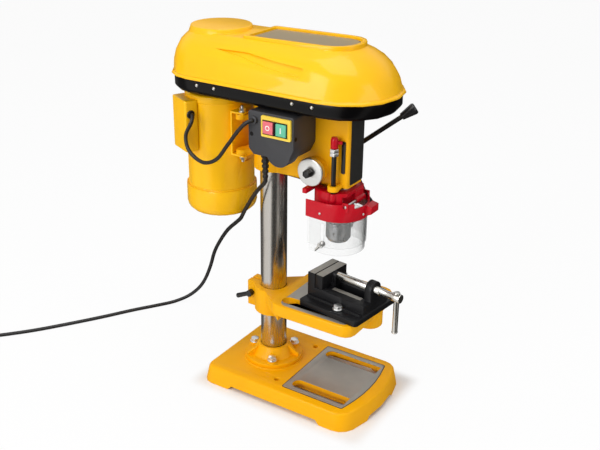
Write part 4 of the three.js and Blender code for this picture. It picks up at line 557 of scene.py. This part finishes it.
coil = coil_places()
inwards = (coil[1] - coil[0]).normalized()
coil.insert(0, coil[0] - inwards * coil_straight)
lead_points.append(tuple(coil[0] - inwards * coil_approach))
coil_end = coil[-1]
plug_way = Vector((*(coil[-1] - coil[-2]).to_2d(), 0.0)).normalized()
for distance, share in plug_rises:
    height = coil_end.z + (plug_height - coil_end.z) * share
    coil.append(Vector((*(coil_end + plug_way * distance).to_2d(), height)))
lead_run = smooth_run([*lead_points, *coil], steps_each=3)
mains_lead = lead_curve("mains_lead", lead_run, lead_radius)
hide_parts("power_cord", "cord_coil")
lead_length = length_of(lead_run) * MM
print("mains lead, metres:", round(lead_length, 3))
plug = dressed("plug", rubber_finish, 0.5)


# Shapes turned about an axis

axis_turns = {
    "X": Matrix.Rotation(math.radians(90), 4, "Y"),
    "-X": Matrix.Rotation(math.radians(-90), 4, "Y"),
    "-Y": Matrix.Rotation(math.radians(90), 4, "X"),
}


def spun(profile, steps, closed=False):
    """A profile of (radius, height) points in millimetres, spun about the upright axis of the origin"""
    mesh = bmesh.new()
    corners = [mesh.verts.new((radius * MM, 0.0, height * MM)) for radius, height in profile]
    edges = [mesh.edges.new(pair) for pair in zip(corners, corners[1:])]
    if closed:
        edges.append(mesh.edges.new((corners[-1], corners[0])))
    bmesh.ops.spin(
        mesh,
        geom=corners + edges,
        cent=(0.0, 0.0, 0.0),
        axis=(0.0, 0.0, 1.0),
        angle=math.tau,
        steps=steps,
        use_merge=True,
    )
    bmesh.ops.remove_doubles(mesh, verts=mesh.verts, dist=1e-6)
    bmesh.ops.recalc_face_normals(mesh, faces=mesh.faces)
    return mesh


def stood(mesh, place, turn):
    """A mesh made about the origin, turned and then moved to a place"""
    bmesh.ops.transform(mesh, matrix=Matrix.Translation(at(*place)) @ turn, verts=mesh.verts)
    return mesh


def domed_screw(name, place, axis, radius, height, body):
    """A pan head screw with a sunk middle"""
    profile = [
        (0.0, height),
        (radius * 0.55, height * 0.94),
        (radius * 0.85, height * 0.7),
        (radius, height * 0.3),
        (radius, 0.0),
        (0.0, 0.0),
    ]
    mesh = spun(profile, steps=28)
    top = [face for face in mesh.faces if face.calc_center_median().z > height * MM * 0.9]
    bmesh.ops.inset_region(mesh, faces=top, thickness=radius * 0.12 * MM, depth=-height * 0.3 * MM)
    screw = piece_from(stood(mesh, place, axis_turns[axis]), name, body, zinc_finish)
    return shade_smooth(screw, sharp_from=40)


# Flat shapes

def prism(name, outline, push, body, finish, edge=0.2, segments=2):
    """A flat outline of places pushed out along a vector, both in millimetres"""
    mesh = bmesh.new()
    face = mesh.faces.new([mesh.verts.new(at(*place)) for place in outline])
    pushed = bmesh.ops.extrude_face_region(mesh, geom=[face])
    moved = [item for item in pushed["geom"] if isinstance(item, bmesh.types.BMVert)]
    bmesh.ops.translate(mesh, vec=Vector(push) * MM, verts=moved)
    bmesh.ops.recalc_face_normals(mesh, faces=mesh.faces)
    return soften_edges(piece_from(mesh, name, body, finish), edge, segments)


def working_face(node, name, level, outline, body, finish, rise, edge):
    """A flat plate on a casting's top face: the face itself, cut to a convex outline and raised"""
    mesh = merged_copy(node)
    away = [
        face for face in mesh.faces
        if face.normal.z < square_on or abs(face.calc_center_median().z - level * MM) > 0.2 * MM
    ]
    bmesh.ops.delete(mesh, geom=away, context="FACES")
    for (x0, y0), (x1, y1) in zip(outline, outline[1:] + outline[:1]):
        bmesh.ops.bisect_plane(
            mesh,
            geom=mesh.verts[:] + mesh.edges[:] + mesh.faces[:],
            dist=1e-7,
            plane_co=at(x0, y0, level),
            plane_no=(y1 - y0, x0 - x1, 0.0),
            clear_outer=True,
        )
    bmesh.ops.triangulate(mesh, faces=mesh.faces[:])
    bmesh.ops.solidify(mesh, geom=mesh.faces[:], thickness=-rise * MM)
    bmesh.ops.recalc_face_normals(mesh, faces=mesh.faces)
    bmesh.ops.dissolve_limit(mesh, angle_limit=flat_angle, verts=mesh.verts, edges=mesh.edges)
    return soften_edges(piece_from(mesh, name, body, finish), edge)


def pad_outline(half_width, rear, front, bow, corner):
    """Anticlockwise: a straight rear edge, and a front edge that bows outwards"""
    def rounded(x, y, from_degrees):
        turns = [math.radians(from_degrees + step) for step in (0, 30, 60, 90)]
        return [(x + corner * math.cos(turn), y + corner * math.sin(turn)) for turn in turns]
    inner = half_width - corner
    shares = (-0.9, -0.6, -0.3, 0.0, 0.3, 0.6, 0.9)
    return [
        *rounded(inner, rear - corner, 0),
        *rounded(-inner, rear - corner, 90),
        *rounded(-inner, front + bow + corner, 180),
        *[(share * inner, front + bow * share * share) for share in shares],
        *rounded(inner, front + bow + corner, 270),
    ]


# Base, column flange and table
dressed("base", casting_finish, 1.1, segments=3)
dressed("column_flange", casting_finish, 0.9, segments=3)
for number in (1, 2, 3):
    dressed(f"flange_bolt_{number}", zinc_finish, 0.4)
dressed("table", casting_finish, 0.9, segments=3)
dressed("table_clamp_lever", handle_finish, 0.5)

base_top = 32
base_pad = pad_outline(half_width=77, rear=-70, front=-198, bow=10, corner=3)
# A black rim just outside the milled pad: painted shade along the pad's edge
base_pad_edge_shade = pad_outline(half_width=78.4, rear=-68.6, front=-199.4, bow=10, corner=4)
table_top = 189
table_pad = pad_outline(half_width=74, rear=-58, front=-194, bow=3, corner=14)
for node, name, level, outline, body, finish, rise, edge in (
    ("base", "base_pad_edge_shade", base_top, base_pad_edge_shade, "machine", handle_finish, 0.2, 0.05),
    ("base", "base_working_face", base_top, base_pad, "machine", machined_finish, 0.6, 0.3),
    ("table", "table_working_face", table_top, table_pad, "table", machined_finish, 0.22, 0.1),
):
    working_face(node, name, level, outline, body, finish, rise, edge)

# Vise
dressed("vise_body", vise_finish, 0.8)
dressed("vise_moving_jaw", vise_finish, 0.8)
dressed("vise_screw", screw_finish, 0.4)
dressed("vise_bar", screw_finish, 0.4)
dressed("vise_bolt_left", zinc_finish, 0.4)
dressed("vise_bolt_right", zinc_finish, 0.4)

# Column, head and what it carries
dressed("column", column_finish, 0.5)
dressed("head", casting_finish, 0.9, segments=3)
dressed("quill", turned_finish, 0.4)
dressed("spindle", turned_finish, 0.3)
dressed("chuck_body", chuck_finish, 0.4)
dressed("chuck_sleeve", chuck_finish, 0.4)
for number in (1, 2, 3):
    dressed(f"chuck_jaw_{number}", chuck_finish, 0.15)
dressed("feed_hub", handle_finish, 0.6)
for number in (1, 2, 3):
    dressed(f"feed_spoke_{number}", dark_steel_finish, 0.3)
    dressed(f"feed_knob_{number}", handle_finish, 0.6)
dressed("spring_cap", zinc_finish, 0.5)
dressed("spring_nut", dark_steel_finish, 0.4)
dressed("depth_rod", handle_finish, 0.3)
dressed("depth_nuts", zinc_finish, 0.4)
dressed("depth_pointer", red_finish, 0.4)
dressed("depth_scale", handle_finish, 0.2)

# Switch box, whose yellow frame has a raised border
dressed("switch_box", box_finish, 0.9, segments=3)
switch_frame_mesh = merged_copy("switch_frame")
switch_frame_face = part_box("switch_frame")[0].x + 0.3 * MM
front_faces = [
    face for face in switch_frame_mesh.faces
    if face.normal.x < -square_on and face.calc_center_median().x < switch_frame_face
]
bmesh.ops.inset_region(
    switch_frame_mesh,
    faces=front_faces,
    thickness=1.5 * MM,
    depth=-0.7 * MM,
    use_even_offset=True,
    use_boundary=True,
)
dressed("switch_frame", frame_finish, 0.3, mesh=switch_frame_mesh)
dressed("stop_button", stop_finish, 0.7, segments=3)
dressed("start_button", start_finish, 0.7, segments=3)
dressed("strain_relief", rubber_finish, 0.5)

# Motor, belt drive and housing
dressed("motor_body", yellow_finish, 0.6)
dressed("motor_bracket", yellow_finish, 0.5)
dressed("motor_fan_cover", yellow_finish, 0.6)
dressed("motor_terminal_box", yellow_finish, 1.2, segments=3)
dressed("spindle_pulley", pulley_finish, 0.3)
dressed("motor_pulley", pulley_finish, 0.3)
dressed("drive_belt", belt_finish, 0.3)
dressed("belt_tray", tray_finish, 1.0, segments=3)
dressed("belt_cover", yellow_finish, 0.8, segments=3)

# Chuck guard
dressed("guard_carrier", red_finish, 0.5)
dressed("guard_band", red_finish, 0.5)
dressed("guard_pin", zinc_finish, 0.3)
dressed("guard_shield", clear_finish, 0.0)
dressed("guard_visor", clear_finish, 0.0)
dressed("wing_nut_left", zinc_finish, 0.3)
dressed("wing_nut_right", zinc_finish, 0.3)

# Ribs that brace the column's collar, halfway between the flange's bolts
rib_half_width = 2.4
rib_profile = [(24.5, 59.6), (28.5, 59.6), (49.5, 46.5), (49.5, 41.2), (24.5, 41.2)]
for number, degrees in enumerate((144, -80, 34), 1):
    turn = math.radians(degrees)
    outwards = Vector((math.cos(turn), math.sin(turn), 0.0))
    sideways = Vector((-math.sin(turn), math.cos(turn), 0.0))
    corners = [
        outwards * radius - sideways * rib_half_width + Vector((0.0, 0.0, height))
        for radius, height in rib_profile
    ]
    prism(
        f"flange_rib_{number}", corners, sideways * 2 * rib_half_width,
        "machine", casting_finish, edge=0.8, segments=3,
    )

# The dark plate on the head's front, with a small chamfer at each corner
plate_corner = 2.0
plate_left, plate_right = -17.5, 22.0
plate_foot, plate_top = 402.5, 521.0
plate_face = -154.6
plate_outline = [
    (plate_left + plate_corner, plate_foot), (plate_right - plate_corner, plate_foot),
    (plate_right, plate_foot + plate_corner), (plate_right, plate_top - plate_corner),
    (plate_right - plate_corner, plate_top), (plate_left + plate_corner, plate_top),
    (plate_left, plate_top - plate_corner), (plate_left, plate_foot + plate_corner),
]
prism(
    "head_front_plate", [(x, plate_face, z) for x, z in plate_outline], (0, -0.8, 0),
    "machine", plate_finish, edge=0.1,
)

# The grey panel that lies in the belt cover's recess, which slopes
recess_half_width = 37.6
recess_back = 19.6
recess_front = -148.6
recess_corner = 32.0
recess_back_level = 615.75
recess_front_level = 618.2


def recess_level(y):
    share = (recess_back - y) / (recess_back - recess_front)
    return recess_back_level + (recess_front_level - recess_back_level) * share


def recess_outline(inset):
    """Square at the back, round at the front corners"""
    half, rear, front = recess_half_width - inset, recess_back - inset, recess_front + inset
    places = [(half, rear), (-half, rear)]
    for side, degrees in ((-1, (180, 200, 220, 240, 255, 270)), (1, (270, 285, 300, 320, 340, 360))):
        for turn in degrees:
            places.append((
                side * (half - recess_corner) + recess_corner * math.cos(math.radians(turn)),
                front + recess_corner + recess_corner * math.sin(math.radians(turn)),
            ))
    return [(x, y, recess_level(y)) for x, y in places]


for name, inset, rise, finish in (
    # A black plate under the grey panel, whose rim shows as a dark line by the recess's far wall: painted
    # shade of that wall
    ("cover_panel_wall_shade", 0.0, 0.5, handle_finish),
    ("cover_panel", 1.6, 0.9, recess_plate_finish),
):
    prism(name, recess_outline(inset), (0, 0, rise), "belt_cover", finish, edge=0.1)

# Black strips in the switch frame's window, round both buttons: painted shade standing in for the dark gaps
# there
window_face = -92.35
window_sides = (-86.6, -42.0)
window_ends = (486.6, 509.4)
button_sides = ((-85.3, -66.7), (-61.8, -43.2))
button_ends = (488.1, 507.9)
gap_shade_strips = [
    (window_sides, (window_ends[0], button_ends[0])),
    (window_sides, (button_ends[1], window_ends[1])),
    ((window_sides[0], button_sides[0][0]), button_ends),
    ((button_sides[0][1], button_sides[1][0]), button_ends),
    ((button_sides[1][1], window_sides[1]), button_ends),
]
for number, ((near, far), (foot, top)) in enumerate(gap_shade_strips, 1):
    corners = [(near, foot), (far, foot), (far, top), (near, top)]
    prism(
        f"switch_gap_shade_strip_{number}", [(window_face, y, z) for y, z in corners], (-0.25, 0, 0),
        "machine", tray_finish, edge=0.03, segments=1,
    )

# Signs on the buttons: a ring for off, a bar for on
sign_face = -94.7
sign_level = 498.0
stop_sign_ring = [(2.6, 0.0), (4.0, 0.0), (4.0, 0.5), (2.6, 0.5)]
stop_sign_place = (sign_face, -52.5, sign_level)
stop_sign = stood(spun(stop_sign_ring, steps=40, closed=True), stop_sign_place, axis_turns["-X"])
piece_from(stop_sign, "stop_sign", "stop_button", sign_finish)
start_sign_corners = [(-75.0, 493.6), (-77.0, 493.6), (-77.0, 502.4), (-75.0, 502.4)]
prism(
    "start_sign", [(sign_face, y, z) for y, z in start_sign_corners], (-0.6, 0, 0),
    "start_button", sign_finish, edge=0.1,
)

# Deep screw holes in the switch box, shown as black plugs: painted shade standing in for the dark inside of
# each hole
hole_shade_profile = [(0.0, 0.25), (3.1, 0.25), (3.4, 0.0), (0.0, 0.0)]
for name, place, axis in (("rear", (-88.05, -18.4, 481.5), "-X"), ("front", (-81.5, -95.05, 484.5), "-Y")):
    hole = stood(spun(hole_shade_profile, steps=32), place, axis_turns[axis])
    piece_from(hole, f"box_screw_hole_shade_{name}", "machine", tray_finish)

# Nuts of the motor's bracket, each with its washer and the end of its stud
sides = ((-1, "left"), (1, "right"))
upright = Matrix.Identity(4)
upside_down = Matrix.Rotation(math.pi, 4, "X")
bracket_fasteners = (
    ("washer", [(0, 0), (6.6, 0), (6.6, 1.2), (5.4, 1.2), (5.4, 1.6), (0, 1.6)], 32),
    ("nut", [(0, 1.6), (5.4, 1.6), (5.4, 5.6), (4.6, 6.4), (0, 6.4)], 6),
    ("stub", [(0, 6.4), (2.9, 6.4), (2.9, 9.4), (2.4, 10), (0, 10)], 24),
)
for side, side_name in sides:
    for end, level, turn in (("top", 495.1, upright), ("foot", 419.9, upside_down)):
        for label, profile, steps in bracket_fasteners:
            mesh = stood(spun(profile, steps), (side * 38, 35, level), turn)
            name = f"bracket_{label}_{side_name}_{end}"
            shade_smooth(piece_from(mesh, name, "machine", zinc_finish), sharp_from=30)

# The rubber ring round the motor's lead, square to the terminal box
grommet_profile = [(3.4, 0.0), (7.0, 0.0), (7.2, 1.2), (6.4, 2.6), (4.6, 3.2), (3.4, 2.6)]
grommet_turn = Vector((-0.42, -0.91, 0.0)).to_track_quat("Z", "Y").to_matrix().to_4x4()
grommet = stood(spun(grommet_profile, steps=40, closed=True), (-70.0, 116.3, 484), grommet_turn)
piece_from(grommet, "motor_lead_grommet", "machine", rubber_finish)

# Ground faces of the vise, which stands a little askew on the table
vise_turn = math.radians(-7.3)
vise_middle = (-0.5, -95.0)
jaw_top = 241.0
rail_top = 216.3


def on_vise(x, y):
    """From the vise's own frame to the machine's"""
    return (
        vise_middle[0] + x * math.cos(vise_turn) - y * math.sin(vise_turn),
        vise_middle[1] + x * math.sin(vise_turn) + y * math.cos(vise_turn),
    )


for node, name, level, left, right, rear, front in (
    ("vise_body", "fixed_jaw_ground_top", jaw_top, -31.5, 31.5, -1.5, -13.5),
    ("vise_moving_jaw", "moving_jaw_ground_top", jaw_top, -31.5, 31.5, -16.0, -60.0),
    ("vise_body", "vise_rail_ground_top", rail_top, -19.0, -10.6, -40.0, -98.0),
):
    outline = [on_vise(right, rear), on_vise(left, rear), on_vise(left, front), on_vise(right, front)]
    working_face(node, name, level, outline, body_of[node], machined_finish, rise=0.15, edge=0.05)

# Small fasteners that the solids leave out
for name, place, axis in (
    ("guard_rivet_left", (-48.9, -120, 358), "-X"),
    ("guard_rivet_right", (48.9, -120, 358), "X"),
    ("guard_rivet_front", (-8.0, -175.9, 356), "-Y"),
):
    domed_screw(name, place, axis, radius=2.2, height=1.4, body="guard")
for side, side_name in sides:
    for number, reach in enumerate((87.4, 53.8, -90.5, -125.1), 1):
        domed_screw(
            f"tray_screw_{side_name}_{number}", (side * 86.4, reach, 540.5), "-X" if side < 0 else "X",
            radius=2.9, height=2.0, body="machine",
        )


# Floor, light and background

floor_half_width = 12.0
floor_glow = 0.93
base_shade_inset = 4
base_shade_reach = 26


def studio_floor():
    """A white bench top: it glows for the camera, but not by the base, where it keeps the machine's shadow"""
    mesh = bmesh.new()
    bmesh.ops.create_grid(mesh, x_segments=2, y_segments=2, size=floor_half_width)
    finish = Finish("white_floor", (0.9, 0.9, 0.9), roughness=0.9)
    low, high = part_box("base")
    covered = 1.0
    for axis, near, far in (("X", low.x, high.x), ("Y", low.y, high.y)):
        reach = finish.maths("ABSOLUTE", finish.part(axis, finish.place) - (near + far) / 2)
        half = (far - near) / 2
        outside = finish.between(half - base_shade_inset * MM, half + base_shade_reach * MM, reach)
        covered = (1.0 - outside) * covered
    straight_rays = finish.maths("MAXIMUM", finish.rays("Camera"), finish.rays("Transmission"))
    surface = finish.mixed_shader(
        straight_rays * (floor_glow - floor_glow * covered),
        Reading(finish, finish.shader.outputs[0]),
        finish.glow("ShaderNodeEmission", white),
    )
    finish.feed(finish.tree.nodes["Material Output"].inputs["Surface"], surface)
    floor = object_from(mesh, "floor", finish.material)
    floor.visible_glossy = False


studio_floor()

# What gloss and metal mirror: upright white screens round the bench with dark gaps between them,
# as pairs of a bearing in degrees and how bright it is there
screen_levels = [
    (-170, 0.85), (-163, 0.05), (-126, 0.05), (-120, 0.5), (-105, 0.5), (-100, 0.09),
    (-64, 0.11), (-58, 0.03), (30, 0.03), (42, 0.12), (112, 0.12), (122, 0.85),
]
screen_tint = (1.0, 0.97, 0.93)
screen_seam = (0.9, 0.9, 0.9, 1.0)
ceiling = (0.75, 0.75, 0.75)
# A direction's height, 0 level and 1 straight up, where the ceiling begins and where it shows in full
ceiling_from, ceiling_full = 0.12, 0.42
room_light = 0.42


def studio_world():
    """White for the camera, screens for what mirrors, and an even dim light for all else"""
    world = bpy.data.worlds.new("studio")
    bpy.context.scene.world = world
    world.use_nodes = True
    studio = Shading(world.node_tree)
    studio.tree.nodes.remove(studio.tree.nodes["Background"])
    direction = studio.node("ShaderNodeTexCoord", output="Generated")
    bearing = studio.maths("ARCTAN2", studio.part("Y", direction), studio.part("X", direction))
    stops = [(0.0, screen_seam)]
    for degrees, level in screen_levels:
        stops.append(((degrees + 180) / 360, (*darker(screen_tint, level), 1.0)))
    stops.append((1.0, screen_seam))
    screens = studio.ramp(stops, studio.between(-math.pi, math.pi, bearing, "LINEAR"))
    height = studio.between(ceiling_from, ceiling_full, studio.part("Z", direction))
    surroundings = studio.mixed_shader(
        studio.rays("Glossy"),
        studio.glow("ShaderNodeBackground", white, room_light),
        studio.glow("ShaderNodeBackground", studio.blended(height, screens, ceiling)),
    )
    backdrop = studio.mixed_shader(
        studio.rays("Camera"), surroundings, studio.glow("ShaderNodeBackground", white),
    )
    studio.feed(studio.tree.nodes["World Output"].inputs["Surface"], backdrop)


studio_world()


machine_middle = Vector((0.0, 0.0, 0.3))


def soft_lamp(name, place, width, height, power):
    """A rectangular soft box aimed at the machine's middle, with its sizes in metres"""
    data = bpy.data.lights.new(name, "AREA")
    data.shape = "RECTANGLE"
    data.size = width
    data.size_y = height
    data.energy = power
    stand = Vector(place)
    way = (machine_middle - stand).normalized()
    turn = way.to_track_quat("-Z", "Y").to_matrix().to_4x4()
    new_object(name, data).matrix_world = Matrix.Translation(stand) @ turn


soft_lamp("left_box", (-2.2, 0.5, 1.4), width=1.2, height=1.8, power=33.0)
soft_lamp("front_box", (-0.2, -2.4, 1.2), width=0.9, height=1.6, power=9.0)
soft_lamp("top_box", (-0.2, -0.2, 2.5), width=1.6, height=1.6, power=21.0)

bpy.context.scene.view_settings.view_transform = "Standard"
